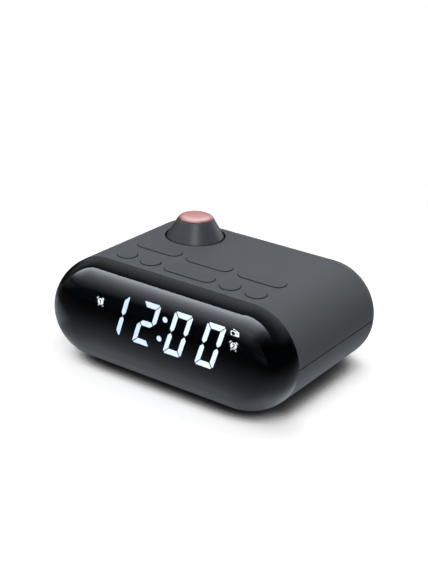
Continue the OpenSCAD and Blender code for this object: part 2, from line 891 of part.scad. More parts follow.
module board_screws() {
    color(metal)
        for (spot = boss_spots)
            translate([spot[0], edge_y + spot[1], board_top - board_t])
                screw(board_t + small_screw_bite, small_screw_r, small_head_r, small_head_h);
}

module board_chips() {
    color(black_plastic)
        for (chip = chips)
            translate([chip[0], edge_y + chip[1], board_top - board_t - chip_t])
                cube([chip[2], chip[3], chip_t]);
}

module capacitors() {
    color("#20242c")
        for (can = cans)
            translate([can[0], edge_y + can[1], board_top - board_t - can_slimness * can[2]])
                cylinder(can_slimness * can[2], r = can[2]);
}

module key_switches() {
    color(black_plastic)
        for (spot = key_spots)
            at_key(spot) difference() {
                translate([-switch_w / 2, -switch_w / 2, board_top]) cube([switch_w, switch_w, switch_h]);
                translate([0, 0, switch_top - plunger_in - key_travel - plunger_over])
                    cylinder(switch_h, r = plunger_r + plunger_gap);
            }
}

module switch_plunger(spot) {
    color("#d8d4c6") at_key(spot) translate([0, 0, switch_top - plunger_in])
        cylinder(plunger_in + plunger_out, r = plunger_r);
}

// A thin-walled cap with a rounded edge, a flange that keeps it in and a stem on its switch
module key(spot) {
    r = spot[3];
    crown_z = top_z + key_proud;
    color(case_colour) at_key(spot) {
        difference() {
            pill(spot[2]) {
                translate([0, flange_top - flange_t])
                    square([r, crown_z - key_round - flange_top + flange_t]);
                translate([0, flange_top - flange_t])
                    square([r - key_round, crown_z - flange_top + flange_t]);
                translate([r - key_round, crown_z - key_round]) intersection() {
                    circle(key_round, $fn = 24);
                    square(2 * key_round);
                }
                translate([0, flange_top - flange_t]) square([r + flange_w, flange_t]);
            }
            pill(spot[2]) translate([0, flange_top - flange_t - 1])
                square([r - key_wall, crown_z - key_roof - flange_top + flange_t + 1]);
        }
        translate([0, 0, stem_bottom]) cylinder(crown_z - key_roof / 2 - stem_bottom, r = stem_r);
    }
}

module alarm_1_key() { key(alarm_1_at); }
module hour_key() { key(hour_at); }
module snooze_key() { key(snooze_at); }
module minute_key() { key(minute_at); }
module alarm_2_key() { key(alarm_2_at); }
module projection_key() { key(projection_at); }
module radio_key() { key(radio_at); }
module volume_key() { key(volume_at); }
module alarm_1_plunger() { switch_plunger(alarm_1_at); }
module hour_plunger() { switch_plunger(hour_at); }
module snooze_plunger() { switch_plunger(snooze_at); }
module minute_plunger() { switch_plunger(minute_at); }
module alarm_2_plunger() { switch_plunger(alarm_2_at); }
module projection_plunger() { switch_plunger(projection_at); }
module radio_plunger() { switch_plunger(radio_at); }
module volume_plunger() { switch_plunger(volume_at); }

// ---- Projector turret ----

module turret_cone() {
    slope = (cone_r - rim_r) / cone_h;
    function cone_at(z) = cone_r - slope * (z - top_z);
    round_z = rim_z - rim_round;
    color(case_colour) at_turret() rotate_extrude() difference() {
        union() {
            polygon([[0, base_z], [cone_r, base_z], [cone_r, top_z], [cone_at(round_z), round_z],
                [cone_at(round_z) - rim_round, round_z], [cone_at(round_z) - rim_round, rim_z], [0, rim_z]]);
            translate([cone_at(round_z) - rim_round, round_z]) intersection() {
                circle(rim_round);
                square(2 * rim_round);
            }
        }
        polygon([[0, base_z - 1], [base_r + turret_fit, base_z - 1], [base_r + turret_fit, top_z],
            [cone_at(barrel_top) - cone_wall, barrel_top], [0, barrel_top]]);
        square([lens_seat_r, 2 * rim_z]);
        translate([0, lens_back]) square([lens_r + turret_fit, rim_z]);
    }
}

module turret_base() {
    color(black_plastic) at_turret() rotate_extrude() difference() {
        union() {
            translate([0, base_z]) square([base_r, base_t]);
            translate([0, spigot_z]) square([spigot_r, base_z - spigot_z + base_t]);
        }
        translate([0, spigot_z - 1]) square([barrel_r, base_z - spigot_z + base_t + 2]);
        translate([spigot_r - clip_depth, clip_z]) square([clip_depth + 1, clip_t]);
    }
}

module turret_clip() {
    color(metal) at_turret() translate([0, 0, clip_z]) {
        rotate_extrude(angle = 360 - clip_opening, start = 90 + clip_opening / 2)
            translate([spigot_r - clip_depth, 0]) square([clip_w + clip_depth, clip_t]);
        translate([-tab_w / 2, -tab_r, 0]) cube([tab_w, tab_r - clip_r + clip_w / 2, clip_t]);
    }
}

module turret_washer() {
    color("#3a3633") at_turret() translate([0, 0, recess_z]) difference() {
        cylinder(washer_t, r = base_r);
        translate([0, 0, -1]) cylinder(washer_t + 2, r = spigot_r + 1);
    }
}

// Flat underneath, with an upright edge of its own height, and domed above that
module domed_lens(r, edge, bulge) {
    dome_r = (r * r + bulge * bulge) / (2 * bulge);
    rotate_extrude() intersection() {
        square([r, edge + bulge]);
        translate([0, edge + bulge - dome_r]) circle(dome_r, $fn = 128);
    }
}

module projection_lens() {
    color("#e2a3a0") at_turret() translate([0, 0, lens_back]) domed_lens(lens_r, lens_edge_t, lens_bulge);
}

module lens_barrel() {
    color(black_plastic) at_turret() rotate_extrude() {
        translate([barrel_in, barrel_z]) square([barrel_t, barrel_tail + barrel_grip]);
        translate([barrel_in, barrel_z]) square([barrel_thin, barrel_top - barrel_z]);
        for (z = [slide_z, condenser_z])
            translate([barrel_in - ledge, z - ledge_t]) square([ledge + barrel_thin, ledge_t]);
    }
}

module image_slide() {
    color("#8c9296") at_turret() translate([-slide_w / 2, -slide_w / 2, slide_z])
        cube([slide_w, slide_w, slide_t]);
}

module condenser_lens() {
    color("#dfe6ea") at_turret() translate([0, 0, condenser_z])
        domed_lens(barrel_in - turret_fit, condenser_edge, condenser_bulge);
}

module projector_led() {
    color("#c8241c") at_turret() translate([0, 0, barrel_z]) {
        cylinder(led_h / 4, r = led_r + led_rim);
        cylinder(led_h, r = led_r);
    }
}

module projector_board() {
    color(board_green) at_turret() translate([0, 0, barrel_z - board_t])
        cylinder(board_t, r = barrel_r - turret_fit);
}

// ---- Speaker ----

module speaker_gasket() {
    color("#2b2b2b") at_speaker() translate([0, 0, floor_z]) difference() {
        cylinder(gasket_t, r = speaker_r);
        translate([0, 0, -1]) cylinder(gasket_t + 2, r = speaker_r - 3);
    }
}

// Pressed steel basket: flat rim, sloping wall and a flat seat for the magnet
module speaker_frame() {
    color(metal) at_speaker() translate([0, 0, speaker_z]) rotate_extrude()
        polygon([[speaker_r - speaker_land, 0], [speaker_r, 0], [speaker_r, speaker_flange_t],
            [speaker_r - speaker_land + basket_t, speaker_flange_t],
            [speaker_neck_r + basket_t, speaker_depth], [basket_hole_r, speaker_depth],
            [basket_hole_r, speaker_depth - basket_t], [speaker_neck_r, speaker_depth - basket_t],
            [speaker_r - speaker_land, basket_t]]);
}

// Flat surround, paper cone, dust cap and the coil's former
module speaker_cone() {
    outer = speaker_r - speaker_land - speaker_fit / 3;
    former = coil_r - coil_t;
    color("#17181a") at_speaker() translate([0, 0, speaker_z]) rotate_extrude()
        polygon([[0, dust_cap_z], [former, dust_cap_z + cone_paper], [cone_neck_r, cone_dip],
            [outer - surround_w, 0], [outer, 0], [outer, cone_paper], [outer - surround_w, cone_paper],
            [cone_neck_r, cone_dip + cone_paper], [coil_r, cone_dip + cone_paper],
            [coil_r, speaker_depth + coil_out], [former, speaker_depth + coil_out],
            [former, dust_cap_z + 2 * cone_paper], [0, dust_cap_z + cone_paper]]);
}

module speaker_magnet() {
    color("#3b3e42") at_speaker() translate([0, 0, speaker_z + speaker_depth]) difference() {
        cylinder(magnet_t, r = magnet_r);
        translate([0, 0, -1]) cylinder(2 * coil_out + 1, r = coil_r + coil_out);
    }
}

module speaker_screws() {
    color(metal) at_speaker_screws() translate([0, 0, speaker_z + speaker_flange_t])
        mirror([0, 0, 1]) screw(gasket_t + speaker_flange_t, small_screw_r, speaker_head_r, small_head_h);
}

// ---- Battery bay ----

module battery_door() {
    half_x = bay_l / 2 + door_overlap;
    front = bay_y - bay_y_half - door_overlap;
    pin_half = half_x + door_gap + hinge_pin_l - pin_play;
    color(case_colour) {
        translate([bay_x - half_x, front, bottom_z]) cube([2 * half_x, hinge_y - front, door_t]);
        translate([bay_x - half_x, hinge_y, hinge_z]) rotate([0, 90, 0]) cylinder(2 * half_x, r = knuckle_r);
        translate([bay_x - pin_half, hinge_y, hinge_z]) rotate([0, 90, 0])
            cylinder(2 * pin_half, r = hinge_pin_r);
        translate([bay_x - tongue_w / 2, bay_y - bay_y_half + latch_gap, bottom_z + door_t / 2])
            cube([tongue_w, latch_t, door_t / 2 + latch_h]);
        for (i = [-grip_rows:grip_rows])
            translate([bay_x - tongue_w / 2, front + grip_back + i * grip_pitch, bottom_z - grip_t / 2])
                cube([tongue_w, grip_t, grip_t]);
    }
}

module battery_cells() {
    color("#c9a24a")
        for (side = [-1, 1])
            translate([bay_x - side * cell_l / 2, bay_y + side * (cell_r + cell_gap / 2), cell_z])
                rotate([0, side * 90, 0]) {
                    cylinder(cell_l - nub_l, r = cell_r);
                    cylinder(cell_l, r = cell_button_r);
                }
}

// Bent spring leaves between the bay's end walls and the cells
module battery_contacts() {
    reach = spring_room - contact_gap;
    color(metal)
        for (end = [-1, 1], side = [-1, 1])
            translate([bay_x + end * bay_l / 2, bay_y + side * (cell_r + cell_gap / 2), cell_z])
                mirror([end > 0 ? 1 : 0, 0, 0]) rotate([90, 0, 0]) linear_extrude(contact_w, center = true)
                    polygon([[0, -contact_half_h], [contact_t, -contact_half_h],
                        [contact_t, contact_half_h / 2], [reach, -contact_t], [reach, contact_t],
                        [contact_t, contact_half_h], [0, contact_half_h]]);
}

// ---- Sockets ----

module dc_jack() {
    inside = rear_y - wall;
    color(black_plastic) difference() {
        union() {
            translate([jack_x, inside - jack_depth, jack_z]) rotate([-90, 0, 0])
                cylinder(jack_depth + wall, r = jack_nose_r);
            translate([jack_x - jack_flange_w / 2, inside - jack_flange_t, jack_z - jack_flange_w / 2])
                cube([jack_flange_w, jack_flange_t, jack_flange_w]);
        }
        translate([jack_x, inside - jack_depth + jack_floor, jack_z]) rotate([-90, 0, 0])
            cylinder(jack_depth + wall, r = jack_bore_r);
    }
}

module dc_jack_pin() {
    color(metal) translate([jack_x, rear_y - wall - jack_depth + jack_floor, jack_z]) rotate([-90, 0, 0])
        cylinder(jack_depth + wall - jack_floor - jack_pin_short, r = jack_pin_r);
}

module aerial_grommet() {
    color("#202124") translate([grommet_x, rear_y, jack_z]) rotate([-90, 0, 0]) rotate_extrude()
        polygon([[wire_r, -wall - grommet_lip], [grommet_r + grommet_lip, -wall - grommet_lip],
            [grommet_r + grommet_lip, -wall], [grommet_r, -wall], [grommet_r, 0],
            [grommet_r - grommet_taper, 0], [wire_r, -grommet_taper / 2]]);
}

upper_case();
lower_case();
front_lens();
display_bezel();
display_module();
lit_segments();
unlit_segments();
colon_dots();
indicator_icons();
display_board();
display_leds();
display_header();
display_screws();
main_board();
key_switches();
board_chips();
capacitors();
board_screws();
alarm_1_key();
hour_key();
snooze_key();
minute_key();
alarm_2_key();
projection_key();
radio_key();
volume_key();
alarm_1_plunger();
hour_plunger();
snooze_plunger();
minute_plunger();
alarm_2_plunger();
projection_plunger();
radio_plunger();
volume_plunger();
turret_cone();
turret_base();
turret_clip();
turret_washer();
projection_lens();
lens_barrel();
image_slide();
condenser_lens();
projector_led();
projector_board();
speaker_frame();
speaker_cone();
speaker_magnet();
speaker_gasket();
speaker_screws();
battery_door();
battery_cells();
battery_contacts();
dc_jack();
dc_jack_pin();
aerial_grommet();
feet();
case_screws();
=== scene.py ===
import json
import math
import bmesh
import bpy
import numpy as np
from mathutils import Matrix, Vector


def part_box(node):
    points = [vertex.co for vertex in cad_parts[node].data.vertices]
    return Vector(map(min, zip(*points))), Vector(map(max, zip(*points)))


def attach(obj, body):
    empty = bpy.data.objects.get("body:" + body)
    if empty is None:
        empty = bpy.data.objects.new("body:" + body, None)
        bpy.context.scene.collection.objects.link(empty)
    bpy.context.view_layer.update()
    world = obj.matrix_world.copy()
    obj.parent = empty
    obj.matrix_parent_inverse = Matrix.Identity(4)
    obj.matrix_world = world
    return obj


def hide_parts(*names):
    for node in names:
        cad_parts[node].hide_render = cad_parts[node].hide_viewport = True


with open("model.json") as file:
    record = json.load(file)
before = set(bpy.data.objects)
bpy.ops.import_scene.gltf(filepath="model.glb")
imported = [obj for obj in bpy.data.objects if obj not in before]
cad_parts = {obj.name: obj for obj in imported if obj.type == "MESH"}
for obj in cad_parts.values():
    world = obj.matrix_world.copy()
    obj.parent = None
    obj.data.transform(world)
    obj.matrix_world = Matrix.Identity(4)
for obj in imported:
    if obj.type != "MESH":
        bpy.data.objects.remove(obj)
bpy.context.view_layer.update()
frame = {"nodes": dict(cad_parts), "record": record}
cadNodes = frame["nodes"]
nodeBody = {node: body for body, nodes in frame["record"]["behaviour"]["bodies"].items() for node in nodes}
slotOf = {s["node"]: s["material_slot"] for s in frame["record"]["subparts"]}
mm = 0.001
mergeM = 1e-6                  # points of a piece made here that lie nearer than this become one
closeM = 1e-7                  # the same for the points of a CAD node


# sRGB hex to linear light, with an alpha of 1
def linear(hexColour):
    channels = np.array([int(hexColour[i:i + 2], 16) for i in (1, 3, 5)]) / 255
    light = np.where(channels <= 0.04045, channels / 12.92, ((channels + 0.055) / 1.055) ** 2.4)
    return (*light, 1.0)


# adds one node; a value that is a socket is linked, any other is set, and settings are the node's own
def addNode(tree, kind, inputs=None, **settings):
    node = tree.nodes.new(kind)
    for key, value in settings.items():
        setattr(node, key, value)
    for key, value in (inputs or {}).items():
        if isinstance(value, bpy.types.NodeSocket):
            tree.links.new(value, node.inputs[key])
        else:
            node.inputs[key].default_value = value
    return node


# grey level of a value between stops of (place, level); a place counts in mm, or in the unit given
def levelAlong(tree, value, stops, unit=mm):
    low, high = stops[0][0], stops[-1][0]
    share = addNode(tree, "ShaderNodeMapRange", {
        "Value": value, "From Min": low * unit, "From Max": high * unit})
    node = addNode(tree, "ShaderNodeValToRGB", {"Fac": share.outputs[0]})
    ramp = node.color_ramp
    while len(ramp.elements) < len(stops):
        ramp.elements.new(0.5)
    for element, (place, level) in zip(ramp.elements, stops):
        element.position = (place - low) / (high - low)
        element.color = (level, level, level, 1)
    return node.outputs[0]


# a material with only its output, its surface shader and Object coordinates
def startFinish(name, **shaderInputs):
    material = bpy.data.materials.new(name)
    material.use_nodes = True
    tree = material.node_tree
    tree.nodes.clear()
    shader = addNode(tree, "ShaderNodeBsdfPrincipled")
    for key, value in shaderInputs.items():
        shader.inputs[key.replace("_", " ")].default_value = value
    addNode(tree, "ShaderNodeOutputMaterial", {"Surface": shader.outputs[0]})
    place = addNode(tree, "ShaderNodeTexCoord").outputs["Object"]
    return material, tree, shader, place


# points and faces as a mesh object at the origin, doubles merged, faces turned outwards
def makeObject(name, points, faces, material, smoothDeg=32):
    mesh = bpy.data.meshes.new(name)
    mesh.from_pydata(np.asarray(points).tolist(), [], [list(f) for f in faces])
    shape = bmesh.new()
    shape.from_mesh(mesh)
    bmesh.ops.remove_doubles(shape, verts=shape.verts, dist=mergeM)
    bmesh.ops.dissolve_degenerate(shape, edges=shape.edges, dist=closeM)
    bmesh.ops.recalc_face_normals(shape, faces=shape.faces)
    shape.to_mesh(mesh)
    shape.free()
    mesh.shade_smooth()
    mesh.set_sharp_from_angle(angle=math.radians(smoothDeg))
    mesh.materials.append(material)
    piece = bpy.data.objects.new(name, mesh)
    bpy.context.scene.collection.objects.link(piece)
    return piece


# hands a finished piece to the frame in the place of one CAD node
def standFor(piece, node):
    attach(piece, nodeBody[node])
    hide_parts(node)
    return piece


# a CAD node's triangles merged into one skin and shaded smooth between its sharp edges
def smoothCopy(node, material, smoothDeg=32):
    source = cadNodes[node].data
    corners = np.empty(len(source.vertices) * 3)
    source.vertices.foreach_get("co", corners)
    loops = np.empty(len(source.loops), int)
    source.loops.foreach_get("vertex_index", loops)
    steps = np.round(corners.reshape(-1, 3) / closeM).astype(np.int64)
    unique, back = np.unique(steps, axis=0, return_inverse=True)
    triangles = back.reshape(-1)[loops].reshape(-1, 3)
    whole = (triangles != np.roll(triangles, 1, axis=1)).all(axis=1)
    mesh = bpy.data.meshes.new(node + "Skin")
    mesh.from_pydata((unique * closeM).tolist(), [], triangles[whole].tolist())
    mesh.shade_smooth()
    mesh.set_sharp_from_angle(angle=math.radians(smoothDeg))
    mesh.materials.append(material)
    piece = bpy.data.objects.new(node + "Skin", mesh)
    bpy.context.scene.collection.objects.link(piece)
    level = piece.modifiers.new("flatFacesStayFlat", "WEIGHTED_NORMAL")
    level.keep_sharp = True
    return standFor(piece, node)


# quads between the rows and columns of a grid of points, whose corners are a point, the next along the
# row, the one below that and the one below the first; a closed direction joins its last to its first
def gridFaces(rows, columns, closedRows=False, closedColumns=False):
    i, j = np.meshgrid(np.arange(rows - (not closedRows)), np.arange(columns - (not closedColumns)),
                       indexing="ij")
    a = i * columns + j
    b = i * columns + (j + 1) % columns
    c = (i + 1) % rows * columns + (j + 1) % columns
    d = (i + 1) % rows * columns + j
    return np.stack([a, b, c, d], -1).reshape(-1, 4)


# sizes of the body, read from the frame
capLow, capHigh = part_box("front_lens")
caseLow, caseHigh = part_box("upper_case")
halfHeight = (capHigh.z - capLow.z) / 2
midZ = (capHigh.z + capLow.z) / 2
spine = capHigh.x - halfHeight
edgeY = caseLow.y
topZ = caseHigh.z
lensFlange = 1.0 * mm          # how far the lens's face reaches over the cone's rim
noiseSpan = (0.3, 0.7)         # nearly all of a noise's values lie between these

skin = {
    "mottleMm": 26,            # size of the mottle, and how far it shifts the colour
    "mottle": 0.06,
    "glossSwing": 0.04,        # how far the grain shifts the roughness
    # painted shade in narrow slots: the share of open sky over which it fades from its darkest to none, and
    # its darkest level
    "paintedShadeOpen": (0.5, 0.95),   # share of open sky over which a slot goes from its darkest to plain
    "paintedShadeDarkest": 0.04}


# spark-eroded ABS: a fine even grain that scatters the light, over a very slight mottle; the colour goes
# nearly black in slots that are narrower than the shade's reach, as painted shade where little open sky is
# in reach
def mouldedAbs(name, hexColour, roughness, grainMm=0.4, bumpMm=0.012, paintedShadeMm=1.6):
    material, tree, shader, place = startFinish(name, IOR=1.53)
    grain = addNode(tree, "ShaderNodeTexNoise", {
        "Vector": place, "Scale": 1 / (grainMm * mm), "Detail": 2.0})
    mottle = addNode(tree, "ShaderNodeTexNoise", {
        "Vector": place, "Scale": 1 / (skin["mottleMm"] * mm), "Detail": 3.0})
    tint = linear(hexColour)[:3]
    colour = addNode(tree, "ShaderNodeMix", {
        0: mottle.outputs["Fac"], 6: (*(c * (1 - skin["mottle"]) for c in tint), 1),
        7: (*(c * (1 + skin["mottle"]) for c in tint), 1)}, data_type="RGBA")
    gloss = addNode(tree, "ShaderNodeMapRange", {
        "Value": grain.outputs["Fac"], "From Min": noiseSpan[0], "From Max": noiseSpan[1],
        "To Min": roughness - skin["glossSwing"], "To Max": roughness + skin["glossSwing"]})
    bump = addNode(tree, "ShaderNodeBump", {
        "Height": grain.outputs["Fac"], "Strength": 0.5, "Distance": bumpMm * mm})
    # painted shade: ambient occlusion darkens the colour where little open sky is in reach
    slot = addNode(tree, "ShaderNodeAmbientOcclusion", {"Distance": paintedShadeMm * mm}, samples=8)
    shade = addNode(tree, "ShaderNodeMapRange", {
        "Value": slot.outputs["AO"], "From Min": skin["paintedShadeOpen"][0], "From Max": skin["paintedShadeOpen"][1],
        "To Min": skin["paintedShadeDarkest"]})
    shaded = addNode(tree, "ShaderNodeVectorMath", {0: colour.outputs[2], "Scale": shade.outputs[0]},
                     operation="SCALE")
    tree.links.new(shaded.outputs[0], shader.inputs["Base Color"])
    tree.links.new(gloss.outputs[0], shader.inputs["Roughness"])
    tree.links.new(bump.outputs[0], shader.inputs["Normal"])
    return material


# polished smoked acrylic: clear inside, nearly black, with mirror-like faces
def smokedAcrylic():
    material, tree, shader, place = startFinish(
        "smokedAcrylic", Base_Color=linear("#34363a"), IOR=1.49, Transmission_Weight=1.0)
    haze = addNode(tree, "ShaderNodeTexNoise", {"Vector": place, "Scale": 1 / (9 * mm), "Detail": 2.0})
    polish = addNode(tree, "ShaderNodeMapRange", {
        "Value": haze.outputs["Fac"], "From Min": noiseSpan[0], "From Max": noiseSpan[1],
        "To Min": 0.0, "To Max": 0.012})
    tree.links.new(polish.outputs[0], shader.inputs["Roughness"])
    return material


litEpoxy = {
    "patchMm": 5,              # size of the patches, and how far they shift the glow to either colour
    "patch": 0.2,
    "rightShare": 0.8}         # share of the right colour at the right end of the digits


# light-filled epoxy over a white LED: a patchy white glow that is a little bluer and dimmer to the left
def glowingEpoxy(name, strength, leftHex, rightHex):
    material, tree, shader, place = startFinish(
        name, Base_Color=linear("#e8eef6"), Roughness=0.4, Emission_Strength=strength)
    low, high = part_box("lit_segments")
    part = addNode(tree, "ShaderNodeSeparateXYZ", {0: place})
    along = addNode(tree, "ShaderNodeMapRange", {
        "Value": part.outputs[0], "From Min": low.x, "From Max": high.x,
        "To Min": 0.0, "To Max": litEpoxy["rightShare"]})
    cloud = addNode(tree, "ShaderNodeTexNoise", {
        "Vector": place, "Scale": 1 / (litEpoxy["patchMm"] * mm), "Detail": 1.0})
    patch = addNode(tree, "ShaderNodeMapRange", {
        "Value": cloud.outputs["Fac"], "From Min": noiseSpan[0], "From Max": noiseSpan[1],
        "To Min": -litEpoxy["patch"], "To Max": litEpoxy["patch"]})
    share = addNode(tree, "ShaderNodeMath", {0: along.outputs[0], 1: patch.outputs[0]}, operation="ADD",
                    use_clamp=True)
    glow = addNode(tree, "ShaderNodeMix", {
        0: share.outputs[0], 6: linear(leftHex), 7: linear(rightHex)}, data_type="RGBA")
    tree.links.new(glow.outputs[2], shader.inputs["Emission Color"])
    return material


# unlit epoxy: milky grey that the smoked cap hides
def unlitEpoxy():
    material, tree, shader, place = startFinish("unlitEpoxy", Roughness=0.45)
    cloud = addNode(tree, "ShaderNodeTexNoise", {"Vector": place, "Scale": 1 / (3 * mm), "Detail": 2.0})
    milk = addNode(tree, "ShaderNodeMix", {
        0: cloud.outputs["Fac"], 6: linear("#0b0c0e"), 7: linear("#101214")}, data_type="RGBA")
    tree.links.new(milk.outputs[2], shader.inputs["Base Color"])
    return material


# black styrene: moulded, slightly satin
def blackStyrene():
    return mouldedAbs("blackStyrene", "#0c0d0e", 0.5, grainMm=0.6, bumpMm=0.006)


# rubber: dull and dark, with a powdery variation
def feetRubber():
    return mouldedAbs("feetRubber", "#1e1f21", 0.85, grainMm=0.7, bumpMm=0.02)


# zinc-plated steel: bright, with the streaks of the drawn wire or sheet
def zincPlatedSteel():
    material, tree, shader, place = startFinish("zincPlatedSteel", Metallic=1.0)
    streak = addNode(tree, "ShaderNodeTexNoise", {
        "Vector": place, "Scale": 1 / (1.2 * mm), "Detail": 4.0})
    tone = addNode(tree, "ShaderNodeMix", {
        0: streak.outputs["Fac"], 6: linear("#8f9296"), 7: linear("#c3c6ca")}, data_type="RGBA")
    blur = addNode(tree, "ShaderNodeMapRange", {
        "Value": streak.outputs["Fac"], "To Min": 0.22, "To Max": 0.42})
    tree.links.new(tone.outputs[2], shader.inputs["Base Color"])
    tree.links.new(blur.outputs[0], shader.inputs["Roughness"])
    return material


# two tones of one stuff in a fine noise, for the small pieces inside
def mottled(name, darkHex, lightHex, roughness, grainMm, **shaderInputs):
    material, tree, shader, place = startFinish(name, Roughness=roughness, **shaderInputs)
    cloud = addNode(tree, "ShaderNodeTexNoise", {
        "Vector": place, "Scale": 1 / (grainMm * mm), "Detail": 3.0})
    tone = addNode(tree, "ShaderNodeMix", {
        0: cloud.outputs["Fac"], 6: linear(darkHex), 7: linear(lightHex)}, data_type="RGBA")
    bump = addNode(tree, "ShaderNodeBump", {
        "Height": cloud.outputs["Fac"], "Strength": 0.3, "Distance": 0.01 * mm})
    tree.links.new(tone.outputs[2], shader.inputs["Base Color"])
    tree.links.new(bump.outputs[0], shader.inputs["Normal"])
    return material


lensGlow = {
    "tint": "#d0908e",
    "paintedHighlightTint": "#fdd6d5",
    "forward": (0.6, -0.8, 0),
    # levels over the share of the lens's radius: of the face, and of the ring of the painted highlight;
    # and of both from the rear edge to the front one, which paints both brighter towards the front
    "face": ((0, 1.0), (0.6, 1.0), (0.8, 0.85), (0.9, 0.5), (0.96, 0.22), (1, 0.06)),
    "ring": ((0, 0.2), (0.4, 0.05), (0.6, 0.3), (0.76, 1.0), (0.88, 0.8), (0.96, 0.0)),
    "faceHighlightForward": ((-1, 0.58), (0, 0.82), (1, 1.0)),
    "highlightForward": ((0.05, 0.0), (0.5, 0.85), (1, 1.0))}


# moulded clear acrylic with red light behind it: a pink face that dims to the rim, and a painted highlight:
# the face brighter towards the front, and a pale crescent at its front
def litLens():
    material, tree, shader, place = startFinish(
        "litLens", Base_Color=linear("#4a3436"), Roughness=0.1, IOR=1.49, Emission_Strength=1.0)
    low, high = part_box("projection_lens")
    radius = (high.x - low.x) / 2 + lensFlange
    middle = ((low.x + high.x) / 2, (low.y + high.y) / 2, 0)
    flat = addNode(tree, "ShaderNodeVectorMath", {0: place, 1: (1, 1, 0)}, operation="MULTIPLY")
    centre = addNode(tree, "ShaderNodeVectorMath", {0: flat.outputs[0], 1: middle}, operation="SUBTRACT")
    reach = addNode(tree, "ShaderNodeVectorMath", {0: centre.outputs[0]}, operation="LENGTH")
    forward = addNode(tree, "ShaderNodeVectorMath", {0: centre.outputs[0], 1: lensGlow["forward"]},
                      operation="DOT_PRODUCT")
    face, ring = (levelAlong(tree, reach.outputs["Value"], lensGlow[k], radius) for k in ("face", "ring"))
    slope, side = (levelAlong(tree, forward.outputs["Value"], lensGlow[k], radius)
                   for k in ("faceHighlightForward", "highlightForward"))
    # painted highlight: the pale crescent, a ring of the lens that is brighter towards the front
    paintedHighlight = addNode(tree, "ShaderNodeMath", {0: ring, 1: side}, operation="MULTIPLY")
    tint = addNode(tree, "ShaderNodeMix", {
        0: paintedHighlight.outputs[0], 6: linear(lensGlow["tint"]), 7: linear(lensGlow["paintedHighlightTint"])},
        data_type="RGBA")
    # painted highlight: the face's glow is brighter towards the front
    level = addNode(tree, "ShaderNodeMath", {0: face, 1: slope}, operation="MULTIPLY")
    glow = addNode(tree, "ShaderNodeVectorMath", {0: tint.outputs[2], "Scale": level.outputs[0]},
                   operation="SCALE")
    tree.links.new(glow.outputs[0], shader.inputs["Emission Color"])
    return material


# black ink on the inside of the cap round its window: it takes up the light that has come through
def maskInk():
    material, tree, shader, place = startFinish("maskInk", Roughness=1.0, Specular_IOR_Level=0.0)
    cloud = addNode(tree, "ShaderNodeTexNoise", {"Vector": place, "Scale": 1 / (4 * mm), "Detail": 2.0})
    tone = addNode(tree, "ShaderNodeMix", {
        0: cloud.outputs["Fac"], 6: linear("#030304"), 7: linear("#070708")}, data_type="RGBA")
    tree.links.new(tone.outputs[2], shader.inputs["Base Color"])
    return material


finish = {
    "caseAbs": mouldedAbs("caseAbs", "#4a4d50", 0.56, paintedShadeMm=1.9),
    "keyAbs": mouldedAbs("keyAbs", "#46494d", 0.54),
    "turretAbs": mouldedAbs("turretAbs", "#383c41", 0.34, bumpMm=0.006),
    "smokedAcrylic": smokedAcrylic(),
    "glowingEpoxy": glowingEpoxy("glowingEpoxy", 34.0, "#d2dfee", "#f6fbff"),
    "signEpoxy": glowingEpoxy("signEpoxy", 34.5, "#faf9ed", "#fffef7"),
    "unlitEpoxy": unlitEpoxy(),
    "blackStyrene": blackStyrene(),
    "feetRubber": feetRubber(),
    "zincPlatedSteel": zincPlatedSteel(),
    "litLens": litLens(),
    "maskInk": maskInk(),
    "solderMask": mottled("solderMask", "#1d4a2e", "#2c6a42", 0.3, 2.5),
    "ledEpoxy": mottled("ledEpoxy", "#d8cf92", "#efe8bb", 0.25, 0.8),
    "redLed": mottled("redLed", "#8a120d", "#c8241c", 0.15, 1.5),
    "canSleeve": mottled("canSleeve", "#171a20", "#262b35", 0.3, 2.0),
    "pressedFelt": mottled("pressedFelt", "#2b2826", "#4a4542", 0.95, 0.3),
    "opticalAcrylic": mottled("opticalAcrylic", "#c9d2d8", "#e4ebef", 0.06, 6.0),
    "slideGlass": mottled("slideGlass", "#6f767b", "#969da2", 0.08, 4.0),
    "conePaper": mottled("conePaper", "#111214", "#232528", 0.9, 0.5),
    "sinteredFerrite": mottled("sinteredFerrite", "#2f3236", "#484b50", 0.7, 0.6),
    "cellFoam": mottled("cellFoam", "#1c1c1c", "#323232", 0.95, 0.5),
    "cellJacket": mottled("cellJacket", "#b58a2e", "#cfa54a", 0.28, 3.0, Metallic=0.6),
    "nylon": mottled("nylon", "#c9c4b2", "#e0dccd", 0.45, 1.0)}
finishOfSlot = {
    "case_abs": "caseAbs", "key_abs": "keyAbs", "turret_abs": "turretAbs", "smoked_gloss": "smokedAcrylic",
    "inner_black": "blackStyrene", "lit_segment": "glowingEpoxy", "unlit_segment": "unlitEpoxy",
    "circuit_board": "solderMask", "led_epoxy": "ledEpoxy", "red_led": "redLed", "can_sleeve": "canSleeve",
    "zinc_steel": "zincPlatedSteel", "felt": "pressedFelt", "lens_clear": "opticalAcrylic",
    "slide_glass": "slideGlass", "cone_paper": "conePaper", "ferrite": "sinteredFerrite",
    "foam": "cellFoam", "cell_jacket": "cellJacket", "switch_nylon": "nylon", "soft_rubber": "feetRubber"}
print("finishes made:", len(finish))


# the front cap: two arcs and a crown, seen from the rim to the face
cap = {
    "rimMm": 0.6,             # straight part in front of the case
    "shoulderMm": 32,         # radius and turn of the long shoulder
    "shoulderDeg": 38,
    "cornerMm": 15,           # radius and turn of the corner before the face
    "cornerDeg": 70,
    "wallMm": 2.2,
    "lipInMm": 2.35,          # how far the lip lies inside the body's outline
    "lipMm": 1.6,             # its thickness, and how far it reaches into the case
    "lipLongMm": 2.5,
    "rimLongMm": 3,           # how far the rim's thicker wall reaches forward
    "breakMm": 0.3,           # rounding of the edge that meets the case
    "breakSteps": 4,
    "stepDeg": 1.25}


